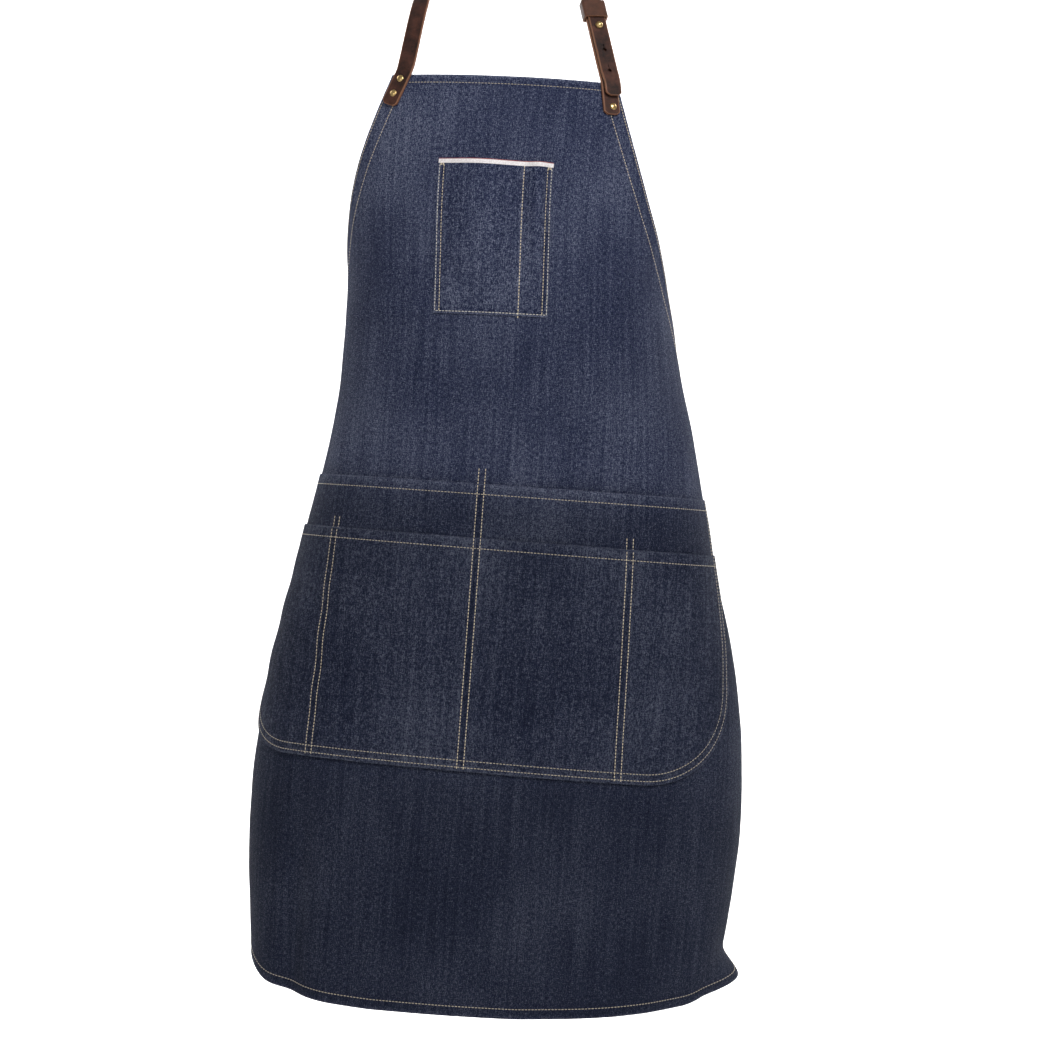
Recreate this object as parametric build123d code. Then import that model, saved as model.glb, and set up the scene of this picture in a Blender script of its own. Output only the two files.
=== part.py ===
"""Denim bib apron in its worn shape, with leather neck and waist straps, brass rivets and strap studs.

Frame, in millimetres: +Z up, -Y the side that the apron faces, +X the wearer's left. The origin is the
point of the neck strap's inner face that rests on the nape of the neck.

The cloth is described twice. Flat, a point is (across, level): the distance from the cloth's centre line,
and the distance below the bib's top edge. Worn, each level is one closed body section, and the cloth lies
along it at its true length, so flat sizes stay true on the body.
"""

import math
import os

from build123d import *

# ---- Driving dimensions of the cut cloth ----
CLOTH_LENGTH = 914.0        # bib top to hem: 36 in
CLOTH_WIDTH = 762.0         # full width of the skirt: 30 in
BIB_TOP_WIDTH = 228.0
ARMHOLE_LEVEL = 345.0       # where the armhole meets the side edge
HEM_CORNER_RADIUS = 110.0
HEM_SAG_RADIUS = 1700.0     # the bottom edge is a very flat arc
DENIM = 0.9                 # cloth thickness
LAYER_GAP = 0.5             # air between two layers of cloth
FACING_WIDTH = 16.0

# ---- Chest pocket ----
CHEST_WIDTH = 111.0
CHEST_TOP = 91.0
CHEST_BOTTOM = 241.0
PEN_SEAM = 27.5             # where the pen slot's seam stands, across
CHEST_OPEN = 7.5            # how far the mouth stands open

# ---- Waist pocket, two layers deep ----
WAIST_POCKET_HALF = 272.0
BACK_TOP = 403.0
FRONT_TOP = 455.0
POCKET_BOTTOM = 678.0
POCKET_CORNER = 95.0
SEAM_TOP = 146.0            # of the front layer's outer seams from its middle seam, at the mouth
SEAM_BOTTOM = 151.0         # and at the bottom
BACK_OPEN = 7.5
FRONT_OPEN = 7.5

# ---- Leather and brass ----
STRAP_WIDTH = 16.0          # 5/8 in
LEATHER = 2.6
LEATHER_GAP = 0.4
STRAP_END_LENGTH = 34.0     # riveted stretch of a strap end
CORNER_CLIP = 5.0
RIVET_HEAD_RADIUS = 3.4
RIVET_HEAD_HEIGHT = 1.5
RIVET_SHANK_RADIUS = 1.5
RIVET_HOLE_RADIUS = 1.6
STUD_HEAD_RADIUS = 3.9
STUD_NECK_RADIUS = 1.9
STUD_HOLE_RADIUS = 2.1
STUD_NECK_HEIGHT = 3.4
HOLE_PITCH = 30.0           # between the strap's adjusting holes
KEEPER_WIDTH = 20.0
KEEPER_LEATHER = 2.0
KEEPER_CLEARANCE = 0.9

# ---- Neck loop ----
TAB_LENGTH = 108.0          # of the tab above the bib
STUD_ALONG = 63.0           # stud above the bib's top edge, along the tab
KEEPER_ALONG = 83.0
TAIL_LENGTH = 15.5          # of the strap's tail below the bib's top edge
NECK_BEND = 7.0             # half the leather that bends when the neck loop folds
LEFT_SHOULDER = (-83.0, -105.0, -48.0)
RIGHT_SHOULDER = (85.0, -100.0, -47.0)
LEFT_NECK_SIDE = (-72.0, -66.0, -20.0)
RIGHT_NECK_SIDE = (73.0, -63.0, -20.0)
LEFT_NAPE = (-42.0, -17.0, -3.0)
RIGHT_NAPE = (42.0, -16.0, -3.0)

# ---- Waist straps ----
WAIST_STRAP_LEVEL = 373.0
WAIST_TAB_REACH = 94.0      # of the tab beyond the cloth's side edge
WAIST_STUD_INSET = 32.0     # stud from the tab's free end
WAIST_KEEPER_INSET = 12.0
WAIST_KEEPER_WIDTH = 12.0
WAIST_TAIL = 65.0           # of the strap beyond the stud

# ---- The body that the cloth is worn on ----
BIB_TOP_Z = -132.0
BACK_POWER = 2.6            # above 2, a section's back is flatter than an ellipse
ROUND_FRONT = 2.0
FLAT_FRONT = 2.3
# Body sections from bib to hem: level, centre line x, middle x, half width, front y, depth of the front
# half, depth of the back half, tilt in degrees.
SECTIONS = [
    (0.0, -0.5, 0.0, 168.0, -165.0, 105.0, 95.0, 2.4),
    (90.0, -8.5, 1.0, 164.0, -192.0, 112.0, 105.0, 2.8),
    (235.0, -14.4, 4.5, 162.5, -211.0, 118.0, 112.0, 2.8),
    (350.0, -19.0, 8.0, 178.0, -211.0, 117.0, 112.0, 3.4),
    (450.0, -26.0, 6.0, 199.0, -214.0, 118.0, 116.0, 4.4),
    (565.0, -34.5, 2.0, 226.0, -217.0, 120.0, 118.0, 4.8),
    (690.0, -44.0, -7.0, 242.0, -218.0, 122.0, 118.0, 4.8),
    (914.0, -60.5, -24.0, 228.0, -210.0, 118.0, 112.0, 3.4),
]
FRONT_FLATTENS = (230.0, 420.0)     # levels between which the front goes from round to flat
SECTION_STEPS = 720
FLARE = 14.0                        # how far the hem's corner on the wearer's left curls outward
FLARE_ACROSS = (265.0, 325.0)
FLARE_LEVELS = (838.0, 885.0)
HEM_LIFT = 9.0                      # how far the hem is drawn up on the wearer's right
LIFT_ACROSS = (175.0, 235.0)
LIFT_LEVELS = (760.0, 914.0)

HALF_WIDTH = CLOTH_WIDTH / 2
SHEET_POINTS = 61
STANDING = (Align.CENTER, Align.CENTER, Align.MIN)


def ease(value, start, end):
    """0 before start, 1 after end, smooth between."""
    share = min(max((value - start) / (end - start), 0.0), 1.0)
    return share * share * (3 - 2 * share)


def interpolate(xs, ys, x):
    """Straight-line interpolation in a rising list."""
    low, high = 0, len(xs) - 1
    if x <= xs[0]:
        return ys[0]
    if x >= xs[-1]:
        return ys[-1]
    while high - low > 1:
        middle = (low + high) // 2
        if xs[middle] <= x:
            low = middle
        else:
            high = middle
    share = (x - xs[low]) / (xs[high] - xs[low])
    return ys[low] + (ys[high] - ys[low]) * share


def knot_slope(column, index):
    """Slope of a section value at its own level, from its neighbours."""
    if index == 0 or index == len(SECTIONS) - 1:
        inner = 1 if index == 0 else index - 1
        run = SECTIONS[inner][0] - SECTIONS[index][0]
        return (SECTIONS[inner][column] - SECTIONS[index][column]) / run
    before, here, after = SECTIONS[index - 1 : index + 2]
    low, high = here[0] - before[0], after[0] - here[0]
    rise_low = (here[column] - before[column]) / low
    rise_high = (after[column] - here[column]) / high
    return (rise_low * high + rise_high * low) / (low + high)


def section_value(level, column):
    """One body dimension at any level, on a smooth curve through SECTIONS."""
    level = min(max(level, SECTIONS[0][0]), SECTIONS[-1][0])
    index = 0
    while index < len(SECTIONS) - 2 and level > SECTIONS[index + 1][0]:
        index += 1
    here, after = SECTIONS[index], SECTIONS[index + 1]
    run = after[0] - here[0]
    t = (level - here[0]) / run
    return (
        (2 * t**3 - 3 * t**2 + 1) * here[column]
        + (t**3 - 2 * t**2 + t) * run * knot_slope(column, index)
        + (-2 * t**3 + 3 * t**2) * after[column]
        + (t**3 - t**2) * run * knot_slope(column, index + 1)
    )


def height_table():
    """Height of the centre line at each millimetre of level: the cloth keeps its length along it."""
    heights, front = [BIB_TOP_Z], section_value(0, 4)
    for level in range(1, int(CLOTH_LENGTH) + 1):
        here = section_value(level, 4)
        heights.append(heights[-1] - math.sqrt(1 - (here - front) ** 2))
        front = here
    return heights


HEIGHTS = height_table()
section_cache = {}


def body_section(level):
    """The closed curve of the body at a level: xs, ys and the distance along it from the centre line."""
    key = round(level, 3)
    if key in section_cache:
        return section_cache[key]
    centre_x, middle_x, half, front_y, front_depth, back_depth = (section_value(level, c) for c in range(1, 7))
    front_power = ROUND_FRONT + (FLAT_FRONT - ROUND_FRONT) * ease(level, *FRONT_FLATTENS)
    xs, ys, along = [], [], [0.0]
    for step in range(SECTION_STEPS + 1):
        angle = -math.pi + 2 * math.pi * step / SECTION_STEPS
        in_front = abs(angle) <= math.pi / 2
        power = 2 / (front_power if in_front else BACK_POWER)
        depth = -front_depth if in_front else back_depth
        xs.append(middle_x + half * math.copysign(abs(math.sin(angle)) ** power, angle))
        ys.append(front_y + front_depth + depth * abs(math.cos(angle)) ** power)
        if step:
            along.append(along[-1] + math.hypot(xs[-1] - xs[-2], ys[-1] - ys[-2]))
    quarter = SECTION_STEPS // 4
    front_xs, front_along = xs[quarter : 3 * quarter + 1], along[quarter : 3 * quarter + 1]
    zero = interpolate(front_xs, front_along, centre_x)
    section_cache[key] = (xs, ys, [a - zero for a in along])
    return section_cache[key]


def girth(level):
    """Length of the whole body section."""
    along = body_section(level)[2]
    return along[-1] - along[0]


def on_body(across, level, outward=0.0):
    """The worn place of a flat point, moved outward within its section's plane, and the outward direction."""
    xs, ys, along = body_section(level)
    around = along[-1] - along[0]
    while across < along[0]:
        across += around
    while across > along[-1]:
        across -= around
    step = 1.0
    x, y = interpolate(along, xs, across), interpolate(along, ys, across)
    run_x = interpolate(along, xs, across + step) - interpolate(along, xs, across - step)
    run_y = interpolate(along, ys, across + step) - interpolate(along, ys, across - step)
    size = math.hypot(run_x, run_y)
    out_x, out_y = run_y / size, -run_x / size
    outward += FLARE * ease(across, *FLARE_ACROSS) * ease(level, *FLARE_LEVELS)
    x, y = x + outward * out_x, y + outward * out_y
    centre_x, tilt = section_value(level, 1), math.radians(section_value(level, 7))
    whole = min(int(level), len(HEIGHTS) - 2)
    z = HEIGHTS[whole] + (HEIGHTS[whole + 1] - HEIGHTS[whole]) * (level - whole)
    z += HEM_LIFT * ease(-across, *LIFT_ACROSS) * ease(level, *LIFT_LEVELS)
    point = Vector(centre_x + (x - centre_x) * math.cos(tilt), y, z - (x - centre_x) * math.sin(tilt))
    return point, Vector(out_x * math.cos(tilt), out_y, -out_x * math.sin(tilt))


def armhole(share):
    """A point of the armhole's edge, from the bib's corner (0) to the side edge (1)."""
    corners = [(BIB_TOP_WIDTH / 2, 0.0), (184.0, 180.0), (262.0, 318.0), (HALF_WIDTH, ARMHOLE_LEVEL)]
    weights = [(1 - share) ** 3, 3 * share * (1 - share) ** 2, 3 * share**2 * (1 - share), share**3]
    return tuple(sum(w * c[axis] for w, c in zip(weights, corners)) for axis in range(2))


def cloth_normal(across, level):
    """A plane on the cloth's inner face, x to the wearer's left and z straight out of the cloth."""
    reach = 2.0
    here = on_body(across, level)[0]
    leftward = on_body(across + reach, level)[0] - on_body(across - reach, level)[0]
    upward = on_body(across, max(level - reach, 0.0))[0] - on_body(across, level + reach)[0]
    return Plane(here, x_dir=leftward, z_dir=leftward.cross(upward))


def cloth_rows():
    """(half width, level) of the body cloth's outline from the bib's top to the hem."""
    armhole_steps, side_step, corner_steps = 16, 25.0, 8
    rows = [armhole(i / armhole_steps) for i in range(armhole_steps + 1)]
    straight = HALF_WIDTH - HEM_CORNER_RADIUS
    corner_level = CLOTH_LENGTH - straight**2 / (2 * HEM_SAG_RADIUS) - HEM_CORNER_RADIUS
    side_rows = int((corner_level - ARMHOLE_LEVEL) / side_step)
    for i in range(1, side_rows):
        rows.append((HALF_WIDTH, ARMHOLE_LEVEL + (corner_level - ARMHOLE_LEVEL) * i / side_rows))
    last_turn = math.pi / 2 - straight / HEM_SAG_RADIUS
    for i in range(corner_steps + 1):
        turn = last_turn * i / corner_steps
        rows.append((straight + HEM_CORNER_RADIUS * math.cos(turn), corner_level + HEM_CORNER_RADIUS * math.sin(turn)))
    for half in (245.0, 205.0, 165.0, 120.0, 70.0):
        rows.append((half, CLOTH_LENGTH - half**2 / (2 * HEM_SAG_RADIUS)))
    return rows


def sheet_row(left, right, level, inner, outer):
    """The closed outline of a sheet's cut at one level. inner and outer give its faces' distance outward."""
    places = [left + (right - left) * i / (SHEET_POINTS - 1) for i in range(SHEET_POINTS)]
    knots = [i / (SHEET_POINTS - 1) for i in range(SHEET_POINTS)]
    front = [on_body(across, level, outer(across, level))[0] for across in places]
    back = [on_body(across, level, inner(across, level))[0] for across in reversed(places)]
    return Wire(
        [
            Edge.make_spline(front, parameters=knots),
            Edge.make_line(front[-1], back[0]),
            Edge.make_spline(back, parameters=knots),
            Edge.make_line(back[-1], front[0]),
        ]
    )


def sheet(rows, inner, thickness=DENIM):
    """A worn sheet of cloth from (left, right, level) rows, its inner face at inner(across, level)."""

    def outer(across, level):
        return inner(across, level) + thickness

    wires = [sheet_row(left, right, level, inner, outer) for left, right, level in rows]
    return Solid.make_loft(wires, ruled=True)


def bar_section(centre, side, face, width, thickness):
    """A rectangle across a strap: side is along its width, face is out of its face."""
    half_side, half_face = side.normalized() * (width / 2), face.normalized() * (thickness / 2)
    corners = [
        centre - half_side - half_face,
        centre + half_side - half_face,
        centre + half_side + half_face,
        centre - half_side + half_face,
    ]
    return Wire.make_polygon(corners, close=True)


def strap(stations, width, thickness, ruled=False):
    """A strap through (centre, side, face) stations."""
    wires = [bar_section(centre, side, face, width, thickness) for centre, side, face in stations]
    return Solid.make_loft(wires, ruled=ruled)


def bore(place, radius, reach=8.0):
    """A round cutter through a strap or the cloth, along a plane's normal."""
    return place * Cylinder(radius, 2 * reach)


def at(plane, x=0.0, y=0.0, z=0.0):
    """The same plane, moved in its own directions."""
    return Plane(plane.from_local_coords(Vector(x, y, z)), x_dir=plane.x_dir, z_dir=plane.z_dir)


# ---- Body cloth, facings and pockets ----


def on_cloth(across, level):
    """Inner face of the body cloth."""
    return 0.0


def body_panel(holes):
    rows = [(-half, half, level) for half, level in cloth_rows()]
    return sheet(rows, on_cloth) - holes


def armhole_facing(side, holes):
    """The strip that backs the armhole, on the cloth's inner face."""
    stations = []
    steps, edge_inset = 26, 1.0
    depth = -(LAYER_GAP + DENIM / 2)
    for i in range(steps + 1):
        share = i / steps
        here = armhole(share)
        before, after = armhole(max(share - 0.02, 0.0)), armhole(min(share + 0.02, 1.0))
        run = math.hypot(after[0] - before[0], after[1] - before[1])
        inward = ((before[1] - after[1]) / run, (after[0] - before[0]) / run)
        ends = []
        for reach in (edge_inset, edge_inset + FACING_WIDTH):
            across = side * (here[0] + inward[0] * reach)
            level = max(here[1] + inward[1] * reach, edge_inset)
            ends.append(on_body(across, level, depth))
        (edge, edge_out), (inner, inner_out) = ends
        face = edge_out + inner_out
        stations.append(((edge + inner) * 0.5, inner - edge, face, (inner - edge).length))
    wires = []
    for centre, along, face, length in stations:
        face = face - along * (face.dot(along) / along.dot(along))
        wires.append(bar_section(centre, along, face, length, DENIM))
    return Solid.make_loft(wires, ruled=True) - holes


def bulge(across, seams):
    """0 on each seam and 1 midway between two seams."""
    for left, right in zip(seams, seams[1:]):
        if left <= across <= right:
            return math.sin(math.pi * (across - left) / (right - left)) ** 2
    return 0.0


def mouth(level, top, bottom):
    """1 at a pocket's mouth, 0 at its bottom."""
    return 1 - ease(level, top, bottom) ** 2


CHEST_SEAMS = [-CHEST_WIDTH / 2, PEN_SEAM, CHEST_WIDTH / 2]
BACK_SEAMS = [-WAIST_POCKET_HALF, 0.0, WAIST_POCKET_HALF]
POCKET_LIFT = DENIM + LAYER_GAP


def chest_inner(across, level):
    return POCKET_LIFT + CHEST_OPEN * bulge(across, CHEST_SEAMS) * mouth(level, CHEST_TOP, CHEST_BOTTOM)


def back_inner(across, level):
    return POCKET_LIFT + BACK_OPEN * bulge(across, BACK_SEAMS) * mouth(level, BACK_TOP, POCKET_BOTTOM)


def front_seams(level):
    """Where the front layer is sewn down at a level: its outer seams spread a little downward."""
    seam = SEAM_TOP + (SEAM_BOTTOM - SEAM_TOP) * (level - FRONT_TOP) / (POCKET_BOTTOM - FRONT_TOP)
    return [-WAIST_POCKET_HALF, -seam, 0.0, seam, WAIST_POCKET_HALF]


def front_inner(across, level):
    opened = FRONT_OPEN * bulge(across, front_seams(level)) * mouth(level, FRONT_TOP, POCKET_BOTTOM)
    return back_inner(across, level) + POCKET_LIFT + opened


def chest_pocket():
    steps = 8
    half = CHEST_WIDTH / 2
    levels = [CHEST_TOP + (CHEST_BOTTOM - CHEST_TOP) * i / steps for i in range(steps + 1)]
    return sheet([(-half, half, level) for level in levels], chest_inner)


def waist_pocket(top, inner, inset=0.0):
    """One layer of the waist pocket, with rounded lower corners."""
    steps, corner_steps = 8, 8
    corner_level = POCKET_BOTTOM - POCKET_CORNER
    straight = WAIST_POCKET_HALF - POCKET_CORNER
    radius = POCKET_CORNER - inset
    rows = []
    for i in range(steps):
        rows.append((straight + radius, top + (corner_level - top) * i / steps))
    for i in range(corner_steps + 1):
        turn = math.pi / 2 * i / corner_steps
        rows.append((straight + radius * math.cos(turn), corner_level + radius * math.sin(turn)))
    return sheet([(-half, half, level) for half, level in rows], inner)


# ---- Leather strap ends on the bib, and the places of their rivets ----


def corner_plane(across, away_across, away_level):
    """A plane over the bib's corner, y up the strap from (away_across, away_level) to the top edge."""
    middle = cloth_normal((across + away_across) / 2, away_level / 2)
    start, end = on_body(across, 0.0)[0], on_body(away_across, away_level)[0]
    up = start - end
    up = (up - middle.z_dir * up.dot(middle.z_dir)).normalized()
    top = middle.origin + up * (start - middle.origin).dot(up) + middle.z_dir * STRAP_LIFT
    return Plane(top, x_dir=up.cross(middle.z_dir), z_dir=middle.z_dir)


STRAP_LIFT = DENIM + 0.9
END_OFFSET = LEATHER / 2
LEFT_CORNER = corner_plane(-100.5, -113.5, 32.0)
RIGHT_CORNER = corner_plane(105.0, 111.6, 33.4)
LEFT_RIVETS = (-6.0, -22.0)
RIGHT_RIVETS = (-9.0, -26.0)
LEFT_CREASE, RIGHT_CREASE = 4.6, 3.0      # middle of each bend, above the bib's top edge
TAIL_LIFT = LEATHER + RIVET_HEAD_HEIGHT + 0.3


def strap_end(plane, bottom, top, lift, clipped=True):
    """A flat strap end with clipped corners, from y = bottom to y = top in the plane."""
    half, clip = STRAP_WIDTH / 2, CORNER_CLIP if clipped else 0.0
    outline = [(-half, top), (-half, bottom + clip), (-half + clip, bottom)]
    outline += [(half - clip, bottom), (half, bottom + clip), (half, top)]
    face = make_face(Polyline(*[(x, y) for x, y in outline], close=True))
    return at(plane, z=lift) * extrude(face, LEATHER)


def turned_dome(points, height):
    """A round solid: points is its outline (radius, height) up to the dome's rim, height is the dome's."""
    radius, base = points[-1]
    ball = (radius**2 + height**2) / (2 * height)
    centre = base + height - ball
    half_turn = math.atan2(radius, base - centre) / 2
    middle = (ball * math.sin(half_turn), centre + ball * math.cos(half_turn))
    top = (0.0, base + height)
    outline = Polyline((0, 0), *points) + ThreePointArc(points[-1], middle, top) + Line(top, (0, 0))
    return revolve(Plane.XZ * make_face(outline), Axis.Z)


def rivet_head(plane):
    """A domed head on a plane, with its base on it."""
    rim = 0.4
    return plane * turned_dome([(RIVET_HEAD_RADIUS, 0), (RIVET_HEAD_RADIUS, rim)], RIVET_HEAD_HEIGHT - rim)


def rivet_post(plane, front, back):
    """A rivet's shank from z = back to z = front, with its flat foot behind."""
    foot_height = 0.8
    shank = at(plane, z=back) * Cylinder(RIVET_SHANK_RADIUS, front - back, align=STANDING)
    foot = at(plane, z=back - foot_height) * Cylinder(RIVET_HEAD_RADIUS, foot_height, align=STANDING)
    return shank + foot


def rivets(planes, back):
    """Heads and posts of rivets whose planes lie on the leather's back face."""
    heads = [rivet_head(at(plane, z=LEATHER)) for plane in planes]
    posts = [rivet_post(plane, LEATHER, back) for plane in planes]
    return Compound(children=heads), Compound(children=posts)


NECK_RIVET_BACK = -(STRAP_LIFT + LAYER_GAP + DENIM + 0.6)
LEFT_RIVET_PLANES = [at(LEFT_CORNER, y=y) for y in LEFT_RIVETS]
RIGHT_RIVET_PLANES = [at(RIGHT_CORNER, y=y) for y in RIGHT_RIVETS]


# ---- Neck loop ----


def crease_point(plane, height):
    """Middle of the leather where it bends, a height above the bib's top edge."""
    return plane.from_local_coords(Vector(0, height, END_OFFSET))


LEFT_HINGE = crease_point(LEFT_CORNER, LEFT_CREASE)
RIGHT_HINGE = crease_point(RIGHT_CORNER, RIGHT_CREASE)
TAB_UP = (Vector(*RIGHT_SHOULDER) - RIGHT_HINGE).normalized()
TAB_FACE = Vector(0.22, -0.78, 0.6)
TAB_FACE = (TAB_FACE - TAB_UP * TAB_FACE.dot(TAB_UP)).normalized()
TAB_SIDE = TAB_UP.cross(TAB_FACE)
TAB_PLANE = Plane(RIGHT_HINGE - TAB_FACE * END_OFFSET, x_dir=TAB_SIDE, z_dir=TAB_FACE)
STRAP_ON_TAB = LEATHER + LEATHER_GAP


def neck_tab(holes):
    length = TAB_LENGTH - NECK_BEND
    tab = at(TAB_PLANE, y=NECK_BEND) * Box(STRAP_WIDTH, length, LEATHER, align=(Align.CENTER, Align.MIN, Align.MIN))
    return tab - holes


def neck_path():
    """(centre, side, face) stations of the neck strap, from the left crease over the nape to the tab."""
    up_left = (Vector(*LEFT_SHOULDER) - LEFT_HINGE).normalized()
    on_tab = [TAB_PLANE.from_local_coords(Vector(0, y, STRAP_ON_TAB + LEATHER / 2)) for y in (TAB_LENGTH + 12, NECK_BEND)]
    points = [
        LEFT_HINGE + up_left * NECK_BEND,
        Vector(*LEFT_SHOULDER),
        Vector(*LEFT_NECK_SIDE),
        Vector(*LEFT_NAPE),
        Vector(0, LEATHER / 2, 0),
        Vector(*RIGHT_NAPE),
        Vector(*RIGHT_NECK_SIDE),
        on_tab[0],
    ]
    ends = [up_left, on_tab[1] - on_tab[0]]
    curve = Spline(*points, tangents=[end.normalized() for end in ends])
    left_face = LEFT_CORNER.z_dir * 0.4 + Vector(-0.1, -0.78, 0.6) * 0.6
    faces = [
        (0.0, left_face),
        (0.20, Vector(-0.25, -0.70, 0.65)),
        (0.33, Vector(-0.62, -0.25, 0.75)),
        (0.42, Vector(-0.66, 0.55, 0.50)),
        (0.50, Vector(0.0, 0.92, 0.38)),
        (0.60, Vector(0.66, 0.55, 0.50)),
        (0.72, Vector(0.62, -0.25, 0.75)),
        (0.86, Vector(0.30, -0.74, 0.62)),
        (1.0, TAB_FACE),
    ]
    steps = 36
    stations = []
    for i in range(steps + 1):
        share = i / steps
        nearest = max(k for k in range(len(faces) - 1) if faces[k][0] <= share + 1e-9)
        (low, face_low), (high, face_high) = faces[nearest], faces[nearest + 1]
        mix = (share - low) / (high - low)
        along = curve.tangent_at(share)
        face = face_low * (1 - mix) + face_high * mix
        face = (face - along * face.dot(along)).normalized()
        stations.append((curve.position_at(share), along.cross(face), face))
    straight = 6
    for i in range(1, straight + 1):
        centre = on_tab[0] + (on_tab[1] - on_tab[0]) * (i / straight)
        stations.append((centre, ends[1].normalized().cross(TAB_FACE), TAB_FACE))
    return stations


def neck_strap(holes):
    return strap(neck_path(), STRAP_WIDTH, LEATHER, ruled=True) - holes


def bend(start_plane, start_y, start_z, end_centre, end_side, end_face):
    """The short bending stretch between a riveted end and the loop."""
    first = start_plane.from_local_coords(Vector(0, start_y, start_z + LEATHER / 2))
    wires = [
        bar_section(first, start_plane.x_dir, start_plane.z_dir, STRAP_WIDTH, LEATHER),
        bar_section(end_centre, end_side, end_face, STRAP_WIDTH, LEATHER),
    ]
    return Solid.make_loft(wires, ruled=True)


def stud(plane):
    """A button stud: neck and ball head above the leather, on a plane at the tab's front face."""
    neck, ball, top = STUD_NECK_RADIUS, STUD_HEAD_RADIUS, STUD_NECK_HEIGHT
    return plane * turned_dome([(neck, 0), (neck, top), (ball, top + 0.8)], ball * 0.8)


def stud_screw(plane):
    """The screw that holds a stud, from behind the tab, with its slotted flat head."""
    head_radius, head_height, slot_width, slot_depth = 3.6, 0.9, 0.8, 0.4
    foot = -(LEATHER + 0.2)
    shank = at(plane, z=foot) * Cylinder(RIVET_SHANK_RADIUS, -foot, align=STANDING)
    head = at(plane, z=foot - head_height) * Cylinder(head_radius, head_height, align=STANDING)
    slot = at(plane, z=foot - head_height) * Box(2 * head_radius, slot_width, 2 * slot_depth)
    return shank + head - slot


def keeper(plane, width, layers, shift=0.0):
    """A rectangular leather loop round a strap on its tab. The plane is on the tab's back face."""
    inner_width = STRAP_WIDTH + 2 * KEEPER_CLEARANCE
    inner_height = layers + 2 * KEEPER_CLEARANCE
    corner = 1.6
    middle = at(plane, x=shift, z=layers / 2)
    inside = Rectangle(inner_width, inner_height)
    outside = RectangleRounded(inner_width + 2 * KEEPER_LEATHER, inner_height + 2 * KEEPER_LEATHER, corner)
    ring = extrude(outside - inside, width / 2, both=True)
    turned = Plane(middle.origin, x_dir=middle.x_dir, z_dir=-middle.y_dir)
    return turned * ring


# ---- Waist straps ----

WAIST_GIRTH = girth(WAIST_STRAP_LEVEL)
TAB_FREE_END = HALF_WIDTH + WAIST_TAB_REACH
WAIST_STUD_AT = TAB_FREE_END - WAIST_STUD_INSET
WAIST_KEEPER_AT = TAB_FREE_END - WAIST_KEEPER_INSET
WAIST_END_INSET = 34.0
WAIST_RIVET_INSETS = (9.0, 25.0)
WAIST_LIFT = DENIM + 0.7
STEP_START = 12.0           # the strap climbs onto the tab between these distances past the tab's end
STEP_END = 2.0


def waist_plane(across, lift):
    """A plane on a waist strap: x up, y along the strap towards the wearer's left, z outward."""
    cloth = cloth_normal(across, WAIST_STRAP_LEVEL)
    return Plane(cloth.origin + cloth.z_dir * lift, x_dir=cloth.x_dir.cross(cloth.z_dir), z_dir=cloth.z_dir)


def waist_band(start, end, lift):
    """A strap round the waist from start to end across, its middle at lift(across)."""
    steps = max(int(abs(end - start) / 7.0), 4)
    stations = []
    for i in range(steps + 1):
        across = start + (end - start) * i / steps
        plane = waist_plane(across, lift(across))
        stations.append((plane.origin, plane.x_dir, plane.z_dir))
    return strap(stations, STRAP_WIDTH, LEATHER, ruled=True)


def tab_lift(across):
    return WAIST_LIFT + LEATHER / 2


def waist_strap_lift(across):
    """The long strap lies on the cloth, then climbs onto the other side's tab."""
    free_end = TAB_FREE_END - WAIST_GIRTH
    climb = 1 - ease(across, free_end + STEP_END, free_end + STEP_START)
    return WAIST_LIFT + LEATHER / 2 + (LEATHER + LEATHER_GAP + 0.2) * climb


def waist_rivet_planes(side):
    return [waist_plane(side * (HALF_WIDTH - inset), WAIST_LIFT) for inset in WAIST_RIVET_INSETS]


def write(name, shape):
    shape.label = name
    export_step(shape, f"parts/{name}.step")
    print(name, round(shape.volume, 1))


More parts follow.
